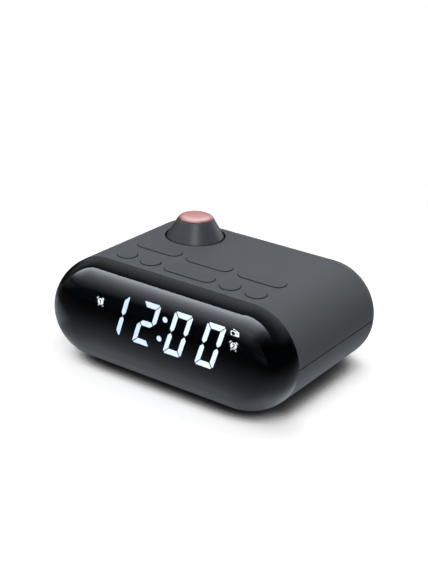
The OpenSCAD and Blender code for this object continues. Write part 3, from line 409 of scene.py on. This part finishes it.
# half section of the cap as (distance from the spine, place along Y): each arc is its centre plus its
# radius times the direction of the turn, and the next centre lies on the line where the last arc ends
def capSection(inset):
    turn = np.radians([0, cap["shoulderDeg"], cap["cornerDeg"], 90])
    toward = lambda a: np.stack([np.cos(a), -np.sin(a)], -1)
    shoulder = np.array([halfHeight - cap["shoulderMm"] * mm, -cap["rimMm"] * mm])
    corner = shoulder + (cap["shoulderMm"] - cap["cornerMm"]) * mm * toward(turn[1])
    cornerEnd = corner + cap["cornerMm"] * mm * toward(turn[2])
    crownRadius = cornerEnd[0] / math.cos(turn[2])
    crown = np.array([0, cornerEnd[1] + crownRadius * math.sin(turn[2])])
    arcs = []
    for centre, radius, start, end in ((shoulder, cap["shoulderMm"] * mm, turn[0], turn[1]),
                                       (corner, cap["cornerMm"] * mm, turn[1], turn[2]),
                                       (crown, crownRadius, turn[2], turn[3])):
        steps = max(2, int(np.degrees(end - start) / cap["stepDeg"]) + 1)
        angles = np.linspace(start, end, steps)[(len(arcs) > 0):, None]
        arcs.append(centre + (radius - inset) * toward(angles[:, 0]))
    return np.concatenate(arcs)


# a section carried round the stadium: at each angle of the two half circles the section's distance lies
# along (cos, sin) from that end of the spine
def roundBody(section, stepDeg, straightSteps=24):
    half = np.radians(np.arange(-90, 90.001, stepDeg))
    run = np.linspace(spine, -spine, straightSteps + 1)[1:-1]
    angle = np.concatenate([half, np.full(len(run), np.pi / 2), half + np.pi,
                            np.full(len(run), 1.5 * np.pi)])
    along = np.concatenate([np.full(len(half), spine), run, np.full(len(half), -spine), -run])
    x = along[:, None] + np.cos(angle)[:, None] * section[None, :, 0]
    z = midZ + np.sin(angle)[:, None] * section[None, :, 0]
    y = np.broadcast_to(edgeY + section[None, :, 1], x.shape)
    return np.stack([x, y, z], -1)


# the closed section runs from the crown down the outside, round the edge break, round the lip that
# enters the case, and back up the inside; the inside of the shoulder is inked
def buildCap():
    wall, rimLong, edge = (cap[k] * mm for k in ("wallMm", "rimLongMm", "breakMm"))
    outer = capSection(0)
    inner = capSection(wall)
    upInner = inner[np.argsort(inner[:, 1])]
    innerAt = lambda y: np.interp(y, upInner[:, 1], upInner[:, 0])
    lipOuter = halfHeight - cap["lipInMm"] * mm
    lipInner = lipOuter - cap["lipMm"] * mm
    lipEnd = cap["lipLongMm"] * mm
    quarter = np.linspace(0, np.pi / 2, cap["breakSteps"])[:, None]
    rim = np.array([halfHeight - edge, -edge]) + edge * np.concatenate(
        [np.cos(quarter), np.sin(quarter)], 1)
    lip = np.array([[lipOuter, 0], [lipOuter, lipEnd], [lipInner, lipEnd], [lipInner, -rimLong],
                    [innerAt(-rimLong), -rimLong]])
    section = np.concatenate([outer[::-1], rim, lip, inner[inner[:, 1] < -rimLong]])
    points = roundBody(section, cap["stepDeg"])
    faces = gridFaces(points.shape[0], points.shape[1], closedRows=True)
    piece = makeObject("frontCap", points.reshape(-1, 3), faces, finish["smokedAcrylic"])
    piece.data.materials.append(finish["maskInk"])
    middles = np.empty(len(piece.data.polygons) * 3)
    piece.data.polygons.foreach_get("center", middles)
    x, y, z = middles.reshape(-1, 3).T
    reach = np.hypot(np.maximum(np.abs(x) - spine, 0), z - midZ)
    shoulderTurn = math.cos(math.radians(cap["shoulderDeg"]))
    window = halfHeight - cap["shoulderMm"] * mm + (cap["shoulderMm"] * mm - wall) * shoulderTurn
    inside = reach < innerAt(y - edgeY) + 0.5 * wall
    masked = inside & (reach > window) & (y < edgeY - rimLong)
    piece.data.polygons.foreach_set("material_index", masked.astype(np.int32))
    standFor(piece, "front_lens")


buildCap()
print("front cap made")


# the display's signs: two alarm clocks and a radio
signs = {
    "leftMm": (-50.3, 4.6),    # centre of each sign, along X and above the display's middle
    "rightMm": (51.7, 4.9),
    "radioMm": (52.4, 12.9),
    "proudMm": 0.03,           # how far the lit shapes stand before the display's face
    "thickMm": 0.4,
    "printMm": 0.02,           # thickness of the dark print on them
    "stemMm": 0.85,            # widths of the printed strokes: the one's stem and flag, the two's bow
    "flagMm": 0.6,             # and base, and the bar beside the radio's dial
    "bowMm": 0.72,
    "baseMm": 0.62,
    "barMm": 0.6,
    "discMm": 2.1,             # a clock's face, and its bells and feet round it
    "bellMm": 3.2,
    "bellDeg": 44,             # turn of a bell's middle from upright, and half its length as a turn
    "bellHalfDeg": 15,
    "bellWideMm": 0.5,
    "feetMm": (2.8, 3.5),      # reach of a foot's two ends, and its turn from upright
    "feetDeg": 149,
    "feetWideMm": 0.5,
    "radioWideMm": 5.7,
    "radioHighMm": 2.9,
    "radioRoundMm": 0.5,
    "aerialWideMm": 0.35,
    "dialMm": 1.25}


# an arc's points are its centre plus its radius times the direction at each angle
def arcPath(centre, radius, startDeg, endDeg, steps=16):
    angle = np.radians(np.linspace(startDeg, endDeg, steps))
    return np.array(centre) + radius * np.stack([np.cos(angle), np.sin(angle)], -1)


# a full turn of points without the last, which is the first again
def disc(centre, radius, steps=48):
    return arcPath(centre, radius, 0, 360 * (steps - 1) / steps, steps)


# outline of a band along a path: each point stands half the width to the left, and then to the right,
# square to the mean direction of its neighbours
def band(path, wide):
    path = np.asarray(path, float)
    along = np.gradient(path, axis=0)
    along /= np.linalg.norm(along, axis=1)[:, None]
    across = np.stack([-along[:, 1], along[:, 0]], -1) * wide / 2
    return np.concatenate([path + across, (path - across)[::-1]])


# a rectangle whose corners are quarter circles, from the right upper corner round to the left
def roundedBox(wide, high, radius):
    corners = [(side * (wide / 2 - radius), rise * (high / 2 - radius))
               for side, rise in ((1, 1), (-1, 1), (-1, -1), (1, -1))]
    return np.concatenate([arcPath(corner, radius, 90 * i, 90 * (i + 1), 6)
                           for i, corner in enumerate(corners)])


# an alarm clock: its face, and a bell and a foot on each side; all shapes are in mm from a sign's centre
def alarmShapes():
    shapes = [disc((0, 0), signs["discMm"])]
    for side in (-1, 1):
        middle = 90 - side * signs["bellDeg"]
        foot = math.radians(90 - side * signs["feetDeg"])
        shapes.append(band(arcPath((0, 0), signs["bellMm"], middle - signs["bellHalfDeg"],
                                   middle + signs["bellHalfDeg"]), signs["bellWideMm"]))
        shapes.append(band([(r * math.cos(foot), r * math.sin(foot)) for r in signs["feetMm"]],
                           signs["feetWideMm"]))
    return shapes


# the radio: its box and its aerial
def radioShapes():
    return [roundedBox(signs["radioWideMm"], signs["radioHighMm"], signs["radioRoundMm"]),
            band([(2.2, 1.75), (-1.4, 2.75)], signs["aerialWideMm"])]


# the dark print on the left clock, the right one and the radio: a one, a two, and a dial with a bar
def printShapes():
    bow = np.concatenate([arcPath((0, 0.6), 0.72, 170, -40), [(-0.75, -1.15)]])
    return ([band([(0.05, -1.35), (0.05, 1.4)], signs["stemMm"]),
             band([(0.05, 1.2), (-0.7, 0.7)], signs["flagMm"])],
            [band(bow, signs["bowMm"]), band([(-1.05, -1.25), (1.1, -1.25)], signs["baseMm"])],
            [disc((-1.2, 0), signs["dialMm"]), band([(0.8, 0.5), (2.1, 0.5)], signs["barMm"])])


# flat outlines in mm as solids: each is drawn at the front and again at the back, with a wall between;
# a group is a sign's place from the display's middle, and its outlines
def flatSolids(groups, frontY, thick):
    low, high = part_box("display_module")
    middleZ = (low.z + high.z) / 2
    points, faces, count = [], [], 0
    for (placeX, placeZ), outlines in groups:
        for outline in outlines:
            n = len(outline)
            flat = (outline + (placeX, placeZ)) * mm
            for y in (frontY, frontY + thick):
                points.append(np.stack([flat[:, 0], np.full(n, y), flat[:, 1] + middleZ], -1))
            ring = np.arange(n) + count
            after = np.roll(ring, -1)
            faces += [ring.tolist(), (ring[::-1] + n).tolist()]
            faces += np.stack([ring, after, after + n, ring + n], -1).tolist()
            count += 2 * n
    return np.concatenate(points), faces


# the lit shapes stand for the CAD's signs, and the print on them is a piece of its own on the display
def buildSigns():
    places = signs["leftMm"], signs["rightMm"], signs["radioMm"]
    thick, thin = signs["thickMm"] * mm, signs["printMm"] * mm
    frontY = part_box("display_module")[0].y - signs["proudMm"] * mm
    lit = makeObject("displaySigns", *flatSolids(
        zip(places, (alarmShapes(), alarmShapes(), radioShapes())), frontY, thick), finish["signEpoxy"])
    standFor(lit, "indicator_icons")
    ink = makeObject("signInk", *flatSolids(
        zip(places, printShapes()), frontY - thin, thin), finish["maskInk"])
    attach(ink, nodeBody["display_module"])


buildSigns()
print("signs made")


# the turret's cone and lens, matched to the real one's lower rim and wider lens
turret = {
    "rimMm": 11.5,             # radius of the solid's top where its slope would meet the rim's height
    "cutMm": 1.2,              # how much lower the slope is cut off here than on the solid
    "roundMm": 0.5,            # of the rim's outer edge
    "roundSteps": 8,
    "seatMm": 10.95,           # radius of the lens's seat, and its depth below the solid's rim
    "seatDeepMm": 2.3,
    "ledgeMm": 1.05,           # width and height of the ledge under the lens
    "ledgeHighMm": 1.2,
    "wallMm": 1.7,
    "clearMm": 0.02,           # between the rim and the lens's face
    "steps": 192,              # of a full turn, and of the lens's dome
    "domeSteps": 40}


# a closed half section, in metres from the axis, turned about a vertical line
def turned(name, section, centre, material, smoothDeg=32):
    angle = np.linspace(0, 2 * np.pi, turret["steps"], endpoint=False)
    x = centre[0] + np.cos(angle)[:, None] * section[None, :, 0]
    y = centre[1] + np.sin(angle)[:, None] * section[None, :, 0]
    z = np.broadcast_to(section[None, :, 1], x.shape)
    faces = gridFaces(turret["steps"], len(section), closedRows=True, closedColumns=True)
    return makeObject(name, np.stack([x, y, z], -1).reshape(-1, 3), faces, material, smoothDeg)


# the cone: a slope that an arc ends at the rim, the lens's stepped seat and the slope of the inside
def buildCone():
    low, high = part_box("turret_cone")
    centre = (low + high) / 2
    foot = (high.x - low.x) / 2
    rim, edge, seat = turret["rimMm"] * mm, turret["roundMm"] * mm, turret["seatMm"] * mm
    slope = (foot - rim) / (high.z - topZ)
    lean = math.atan(slope)
    slopeAt = lambda z: foot - slope * (z - topZ)
    top = high.z - turret["cutMm"] * mm
    # the rounding's centre lies its radius below the rim and its radius in from the slope
    bend = np.array([slopeAt(top - edge) - edge / math.cos(lean), top - edge])
    turn = np.linspace(lean, np.pi / 2, turret["roundSteps"])
    rounding = bend + edge * np.stack([np.cos(turn), np.sin(turn)], -1)
    ledgeZ = high.z - turret["seatDeepMm"] * mm
    innerTop = ledgeZ - turret["ledgeHighMm"] * mm
    inner = foot - turret["wallMm"] * mm
    ledge = seat - turret["ledgeMm"] * mm
    section = np.concatenate([
        [(foot, low.z), (foot, topZ)], rounding,
        [(seat, top), (seat, ledgeZ), (ledge, ledgeZ), (ledge, innerTop),
         (slopeAt(innerTop) - turret["wallMm"] * mm, innerTop), (inner, topZ), (inner, low.z)]])
    standFor(turned("turretCone", section, centre, finish["turretAbs"], smoothDeg=20), "turret_cone")


# the lens: its height above the rim falls as the root of one minus the third power of the share of
# its radius, so the middle is nearly flat and the edge rolls over on to the rim, just clear of it
def buildLens():
    low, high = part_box("projection_lens")
    centre = (low + high) / 2
    body = (high.x - low.x) / 2
    face = body + lensFlange
    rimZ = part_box("turret_cone")[1].z - (turret["cutMm"] - turret["clearMm"]) * mm
    share = np.sin(np.linspace(0, np.pi / 2, turret["domeSteps"]))
    dome = np.stack([face * share, rimZ + (high.z - rimZ) * np.sqrt(1 - share ** 3)], -1)
    section = np.concatenate([dome, [(body, rimZ), (body, low.z), (0, low.z)]])
    standFor(turned("projectionLens", section, centre, finish["litLens"]), "projection_lens")


buildCone()
buildLens()
print("turret made")


# everything else keeps its CAD solid, and the rounded ones get a merged skin in its place
roundedNodes = ["upper_case", "lower_case", "battery_door", "feet", "aerial_grommet", "dc_jack"]
madeAbove = ["front_lens", "indicator_icons", "turret_cone", "projection_lens"]
for node, cadObject in cadNodes.items():
    material = finish[finishOfSlot[slotOf[node]]]
    if node in roundedNodes or node.endswith("_key"):
        smoothCopy(node, material)
    elif node not in madeAbove:
        cadObject.data.materials.clear()
        cadObject.data.materials.append(material)
print("nodes finished:", len(cadNodes))


# floor and light
studio = {
    "floorM": 6.0,
    "floorWhite": 2.0,         # white of the floor as the camera sees it, and as it lights the object
    "floorBounce": 0.42,
    # the painted shadow under the object's edge reaches this far
    "paintedShadowMm": 18,           # how far the dark under the object's edge reaches
    "clearMm": (260, 420),     # reach over which the floor turns to the plain white of the backdrop
    "worldDiffuse": 0.42,      # of the light from all round, in which reflections still see white
    "overheadPower": 2.4,      # the overhead lamp's power in watts, its side and its place
    "overheadM": 0.8,
    "overheadPlaceM": (-0.12, 0.05, 0.95)}
lamps = {
    # power in watts, side in metres, way from what it lights, and how far off it stands in metres
    "fill": (5.2, 0.9, (0.6, -0.65, 0.45), 1.2),
    "left": (3.0, 0.7, (-0.8, -0.5, 0.55), 1.1),
    # three small softboxes that only the turret takes light from
    "strip": (1.2, 0.32, (0.43, -0.64, 0.64), 0.85),
    "edge": (1.3, 0.3, (-0.85, -0.5, 0.4), 0.85),
    "rim": (1.4, 0.3, (0.6, 0.8, 0.35), 0.85)}


# 1 for a ray of any of the kinds named, or else 0
def anyRayOf(tree, *names):
    path = addNode(tree, "ShaderNodeLightPath")
    share = path.outputs[names[0]]
    for name in names[1:]:
        share = addNode(tree, "ShaderNodeMath", {0: share, 1: path.outputs[name]},
                        operation="MAXIMUM").outputs[0]
    return share


# a material without nodes, and its node tree
def emptyTree(name):
    material = bpy.data.materials.new(name)
    material.use_nodes = True
    material.node_tree.nodes.clear()
    return material, material.node_tree


paintedShadowCurves = {
    # painted shadow: level of the floor over the share of open sky above it, in front of the object and at
    # its right
    "front": ((0, 0.0), (0.15, 0.03), (0.2, 0.085), (0.25, 0.23), (0.32, 0.44), (0.38, 0.64), (0.43, 0.76),
              (0.5, 0.81), (0.6, 0.81), (0.75, 0.76), (1, 0.69)),
    "right": ((0, 0.0), (0.22, 0.045), (0.3, 0.08), (0.36, 0.13), (0.42, 0.25), (0.48, 0.43), (0.53, 0.59),
              (0.58, 0.74), (0.64, 0.87), (0.72, 0.95), (0.85, 0.98), (1, 0.95)),
    # share of the second curve over the place along X, and over the place behind the cap's edge
    "rightFrom": ((0, 0.0), (50, 1.0)),
    "rearFrom": ((-16, 0.0), (-6, 0.35), (8, 1.0), (60, 1.0), (95, 0.75), (140, 0.75))}


# a pale floor that takes the lamps' shadows and, for the camera, a painted shadow under the object's edge,
# wider and softer on the side away from the light; it turns to the plain white of the backdrop further out
def buildFloor():
    material, tree = emptyTree("paleSweepPaintedShadow")
    # painted shadow: the floor's colour for the camera darkens where the ambient occlusion finds the object
    # near
    near = addNode(tree, "ShaderNodeAmbientOcclusion", {"Distance": studio["paintedShadowMm"] * mm}, samples=16)
    place = addNode(tree, "ShaderNodeTexCoord").outputs["Object"]
    part = addNode(tree, "ShaderNodeSeparateXYZ", {0: place})
    behind = addNode(tree, "ShaderNodeMath", {0: part.outputs[1], 1: edgeY}, operation="SUBTRACT")
    side = addNode(tree, "ShaderNodeMath", {
        0: levelAlong(tree, part.outputs[0], paintedShadowCurves["rightFrom"]),
        1: levelAlong(tree, behind.outputs[0], paintedShadowCurves["rearFrom"])}, operation="MULTIPLY")
    level = addNode(tree, "ShaderNodeMix", {
        0: side.outputs[0],
        6: levelAlong(tree, near.outputs["AO"], paintedShadowCurves["front"], unit=1),
        7: levelAlong(tree, near.outputs["AO"], paintedShadowCurves["right"], unit=1)}, data_type="RGBA")
    white = addNode(tree, "ShaderNodeVectorMath", {
        0: level.outputs[2], "Scale": studio["floorWhite"]}, operation="SCALE")
    seen = addNode(tree, "ShaderNodeBsdfDiffuse", {"Color": white.outputs[0]})
    bounce = addNode(tree, "ShaderNodeBsdfDiffuse", {"Color": (studio["floorBounce"],) * 3 + (1,)})
    reach = addNode(tree, "ShaderNodeVectorMath", {0: place}, operation="LENGTH")
    start, end = studio["clearMm"]
    backdrop = addNode(tree, "ShaderNodeMixShader", {
        0: levelAlong(tree, reach.outputs["Value"], ((start, 0.0), (end, 1.0))), 1: seen.outputs[0],
        2: addNode(tree, "ShaderNodeEmission").outputs[0]})
    which = addNode(tree, "ShaderNodeMixShader", {
        0: anyRayOf(tree, "Is Camera Ray"), 1: bounce.outputs[0], 2: backdrop.outputs[0]})
    addNode(tree, "ShaderNodeOutputMaterial", {"Surface": which.outputs[0]})
    half = studio["floorM"] / 2
    floor = makeObject("floor", [(-half, -half, 0), (half, -half, 0), (half, half, 0), (-half, half, 0)],
                       [(0, 1, 2, 3)], material)


# light and dark cards that show only in gloss: what the glossy cap and the satin shell reflect
cards = {
    "ceilingMm": 700,
    "backMm": 130,             # where the bright softbox ends and the dimmer ceiling behind it starts
    "turnMm": -200,            # from here to the right that edge runs slantwise to the front
    "slant": 0.136,
    "softboxPower": 9.0,
    # levels over the place along X and along Y, which multiply
    "softboxX": ((-2200, 0.06), (-1800, 0.08), (-1250, 0.37), (-850, 0.7), (-500, 0.76), (-250, 0.9),
                 (-100, 1.0), (80, 1.0), (200, 0.8), (290, 0.5), (400, 0.19), (600, 0.04), (900, 0.01),
                 (1500, 0.0)),
    "softboxY": ((-1800, 0.008), (-1500, 0.012), (-1120, 0.022), (-778, 0.045), (-547, 0.075),
                 (-388, 0.125), (-224, 0.19), (-147, 0.27), (-80, 0.37), (-8, 0.56), (61, 0.8), (130, 1.0)),
    "rearX": ((-2200, 0.25), (-1250, 0.36), (-850, 0.5), (-600, 0.58), (-300, 0.82), (50, 1.0),
              (275, 0.88), (425, 0.74), (600, 0.48), (850, 0.3), (1250, 0.08), (1500, 0.03)),
    "rearY": ((130, 0.2), (180, 0.22), (250, 0.32), (400, 0.62), (700, 0.9), (1150, 1.0), (1500, 1.0)),
    "wallLeftMm": -2200,       # places of the four walls
    "wallRightMm": 1500,
    "wallFrontMm": -1800,
    "wallRearMm": 1500,
    "darkPower": 0.025,        # of the front and right walls, which are nearly black
    "leftPower": 0.25,         # of the left wall, times its levels over the height
    "leftZ": ((0, 0.04), (150, 0.1), (330, 0.3), (530, 0.55), (700, 0.6)),
    "rearLeftMm": (-2200, -700),    # the rear wall has a card at its left and another at its right
    "rearLeftPower": 0.25,
    "rearRightMm": (900, 1500),
    "rearRightPower": 0.05,
    "tint": (0.93, 1.0, 1.1),
    "darkTint": (0.3, 0.95, 1.4),
    "floorLiftMm": 0.4,        # of the sheen above the floor
    # the sheen of the floor: a bright patch at the left, and levels over the reach from the cap's edge
    "leftX": ((-330, 0.0), (-270, 0.1), (-230, 0.6), (-160, 0.9), (-125, 0.95), (-105, 0.5), (-85, 0.0)),
    "leftY": ((-150, 0.0), (-120, 0.1), (-92, 0.6), (-68, 1.0), (-40, 0.75), (0, 0.6), (60, 0.0)),
    "floorNear": ((0, 0.02), (8, 0.05), (12, 0.1), (20, 0.36), (28, 0.85), (36, 0.93), (45, 0.68),
                  (55, 0.5), (70, 0.36), (90, 0.25), (115, 0.16), (150, 0.1), (200, 0.06), (300, 0.04),
                  (600, 0.02))}


# a card that glows by its power, times what makeLevel works out from the place on it
def buildCard(name, corners, tint, power, makeLevel=None):
    material, tree = emptyTree(name)
    light = addNode(tree, "ShaderNodeEmission", {"Color": (*tint, 1), "Strength": power})
    if makeLevel:
        place = addNode(tree, "ShaderNodeTexCoord").outputs["Object"]
        level = addNode(tree, "ShaderNodeMath", {0: makeLevel(tree, place), 1: power}, operation="MULTIPLY")
        tree.links.new(level.outputs[0], light.inputs["Strength"])
    addNode(tree, "ShaderNodeOutputMaterial", {"Surface": light.outputs[0]})
    card = makeObject(name, np.array(corners) * mm, [range(len(corners))], material)
    card.visible_camera = card.visible_diffuse = card.visible_shadow = False
    card.visible_transmission = card.visible_volume_scatter = False


# levels along X and along Y, multiplied
def crossLevels(alongX, alongY):
    def level(tree, place):
        part = addNode(tree, "ShaderNodeSeparateXYZ", {0: place})
        both = addNode(tree, "ShaderNodeMath", {
            0: levelAlong(tree, part.outputs[0], alongX), 1: levelAlong(tree, part.outputs[1], alongY)},
            operation="MULTIPLY")
        return both.outputs[0]
    return level


# level by the height above the floor
def riseLevel(tree, place):
    part = addNode(tree, "ShaderNodeSeparateXYZ", {0: place})
    return levelAlong(tree, part.outputs[2], cards["leftZ"])


# level by the reach from the middle line of the cap's edge, drawn on the floor
def sheenLevel(tree, place):
    part = addNode(tree, "ShaderNodeSeparateXYZ", {0: place})
    side = addNode(tree, "ShaderNodeMath", {0: part.outputs[0]}, operation="ABSOLUTE")
    past = addNode(tree, "ShaderNodeMath", {0: side.outputs[0], 1: spine}, operation="SUBTRACT")
    ahead = addNode(tree, "ShaderNodeMath", {0: edgeY, 1: part.outputs[1]}, operation="SUBTRACT")
    pastEnd, aheadOfEdge = (
        addNode(tree, "ShaderNodeMath", {0: way.outputs[0], 1: 0.0}, operation="MAXIMUM").outputs[0]
        for way in (past, ahead))
    joined = addNode(tree, "ShaderNodeCombineXYZ", {0: pastEnd, 1: aheadOfEdge})
    reach = addNode(tree, "ShaderNodeVectorMath", {0: joined.outputs[0]}, operation="LENGTH")
    near = levelAlong(tree, reach.outputs["Value"], cards["floorNear"])
    patch = crossLevels(cards["leftX"], cards["leftY"])(tree, place)
    return addNode(tree, "ShaderNodeMath", {0: near, 1: patch}, operation="MAXIMUM").outputs[0]


# a room of cards: a bright softbox and a dimmer ceiling behind it, the floor's sheen, and the walls
def buildCards():
    left, right, front, rear = (cards["wall" + side + "Mm"] for side in ("Left", "Right", "Front", "Rear"))
    top, back, turn, lift = (cards[k] for k in ("ceilingMm", "backMm", "turnMm", "floorLiftMm"))
    tint, darkTint, dark = cards["tint"], cards["darkTint"], cards["darkPower"]
    border = [(left, back, top), (turn, back, top), (right, back - cards["slant"] * (right - turn), top)]
    buildCard("softbox", [(right, front, top), (left, front, top), *border], tint, cards["softboxPower"],
              crossLevels(cards["softboxX"], cards["softboxY"]))
    buildCard("rearCeiling", [(right, rear, top), (left, rear, top), *border], tint, 1.0,
              crossLevels(cards["rearX"], cards["rearY"]))
    buildCard("floorSheen", [(left, front, lift), (right, front, lift), (right, rear, lift),
                             (left, rear, lift)], tint, 1.0, sheenLevel)
    (rearStart, rearTurn), (rearGap, rearEnd) = cards["rearLeftMm"], cards["rearRightMm"]
    for name, colour, power, (x0, y0), (x1, y1), makeLevel in (
            ("frontFlag", darkTint, dark, (left, front), (right, front), None),
            ("leftFlag", tint, cards["leftPower"], (left, front), (left, rear), riseLevel),
            ("rightFlag", darkTint, dark, (right, front), (right, rear), None),
            ("rearFlagLeft", tint, cards["rearLeftPower"], (rearStart, rear), (rearTurn, rear), None),
            ("rearFlagRight", tint, cards["rearRightPower"], (rearGap, rear), (rearEnd, rear), None)):
        buildCard(name, [(x0, y0, 0), (x1, y1, 0), (x1, y1, top), (x0, y0, top)], colour, power, makeLevel)


# white all round for the camera and for reflections, and a plain soft light for the rest
def buildWorld():
    world = bpy.data.worlds.new("studio")
    bpy.context.scene.world = world
    world.use_nodes = True
    tree = world.node_tree
    tree.nodes.clear()
    seen = addNode(tree, "ShaderNodeBackground", {"Color": (1, 1, 1, 1), "Strength": 1.0})
    plain = addNode(tree, "ShaderNodeBackground", {
        "Color": (1, 1, 1, 1), "Strength": studio["worldDiffuse"]})
    which = addNode(tree, "ShaderNodeMixShader", {
        0: anyRayOf(tree, "Is Camera Ray", "Is Glossy Ray", "Is Transmission Ray"),
        1: plain.outputs[0], 2: seen.outputs[0]})
    addNode(tree, "ShaderNodeOutputWorld", {"Surface": which.outputs[0]})


# a square lamp that shines straight down
def buildLamp(name, power, size, place):
    lamp = bpy.data.lights.new(name, "AREA")
    lamp.energy = power
    lamp.size = size
    holder = bpy.data.objects.new(name, lamp)
    holder.location = place
    bpy.context.scene.collection.objects.link(holder)
    return holder


# a lamp that faces a target, with what the lamps' dictionary gives for its name
def buildLampTowards(name, target):
    power, size, way, far = lamps[name]
    way = Vector(way).normalized()
    holder = buildLamp(name, power, size, target + way * far)
    holder.rotation_euler = way.to_track_quat("Z", "Y").to_euler()
    return holder


# the overhead lamp, two fills, and three softboxes that are kept off everything but the turret
def buildLamps():
    overhead = buildLamp("overhead", studio["overheadPower"], studio["overheadM"], studio["overheadPlaceM"])
    fill, left = (buildLampTowards(name, Vector((0, 0, 0))) for name in ("fill", "left"))
    overhead.visible_glossy = fill.visible_glossy = left.visible_glossy = False
    low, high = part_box("turret_cone")
    lit = bpy.data.collections.new("turretLit")
    lit.objects.link(bpy.data.objects["turretCone"])
    for name in ("strip", "edge", "rim"):
        holder = buildLampTowards(name, (low + high) / 2)
        holder.light_linking.receiver_collection = lit
        holder.visible_glossy = name == "strip"


# the camera's lens, place and turns: yaw to the right, the look down, and a roll against the clock
view = {
    "lensMm": 75.72,
    "placeMm": (400.2, -587.2, 355.9),
    "yawDeg": -34.16,
    "downDeg": 23.12,
    "rollDeg": 2.34}


# the camera's three directions: ahead by yaw and look down, right level with the floor, up square to
# both, and then the last two turned by the roll
def buildCamera():
    yaw, down, roll = (math.radians(view[k]) for k in ("yawDeg", "downDeg", "rollDeg"))
    ahead = np.array([math.sin(yaw) * math.cos(down), math.cos(yaw) * math.cos(down), -math.sin(down)])
    right = np.array([math.cos(yaw), -math.sin(yaw), 0])
    up = np.cross(right, ahead)
    across = right * math.cos(roll) + up * math.sin(roll)
    above = up * math.cos(roll) - right * math.sin(roll)
    camera = bpy.data.cameras.new("camera")
    camera.lens = view["lensMm"]
    holder = bpy.data.objects.new("camera", camera)
    stand = np.eye(4)
    stand[:3, :3] = np.stack([across, above, -ahead], 1)
    stand[:3, 3] = np.array(view["placeMm"]) * mm
    holder.matrix_world = Matrix(stand.tolist())
    bpy.context.scene.collection.objects.link(holder)
    bpy.context.scene.camera = holder


buildFloor()
buildCards()
buildWorld()
buildLamps()
buildCamera()
bpy.context.scene.view_settings.view_transform = "Standard"
print("studio made")
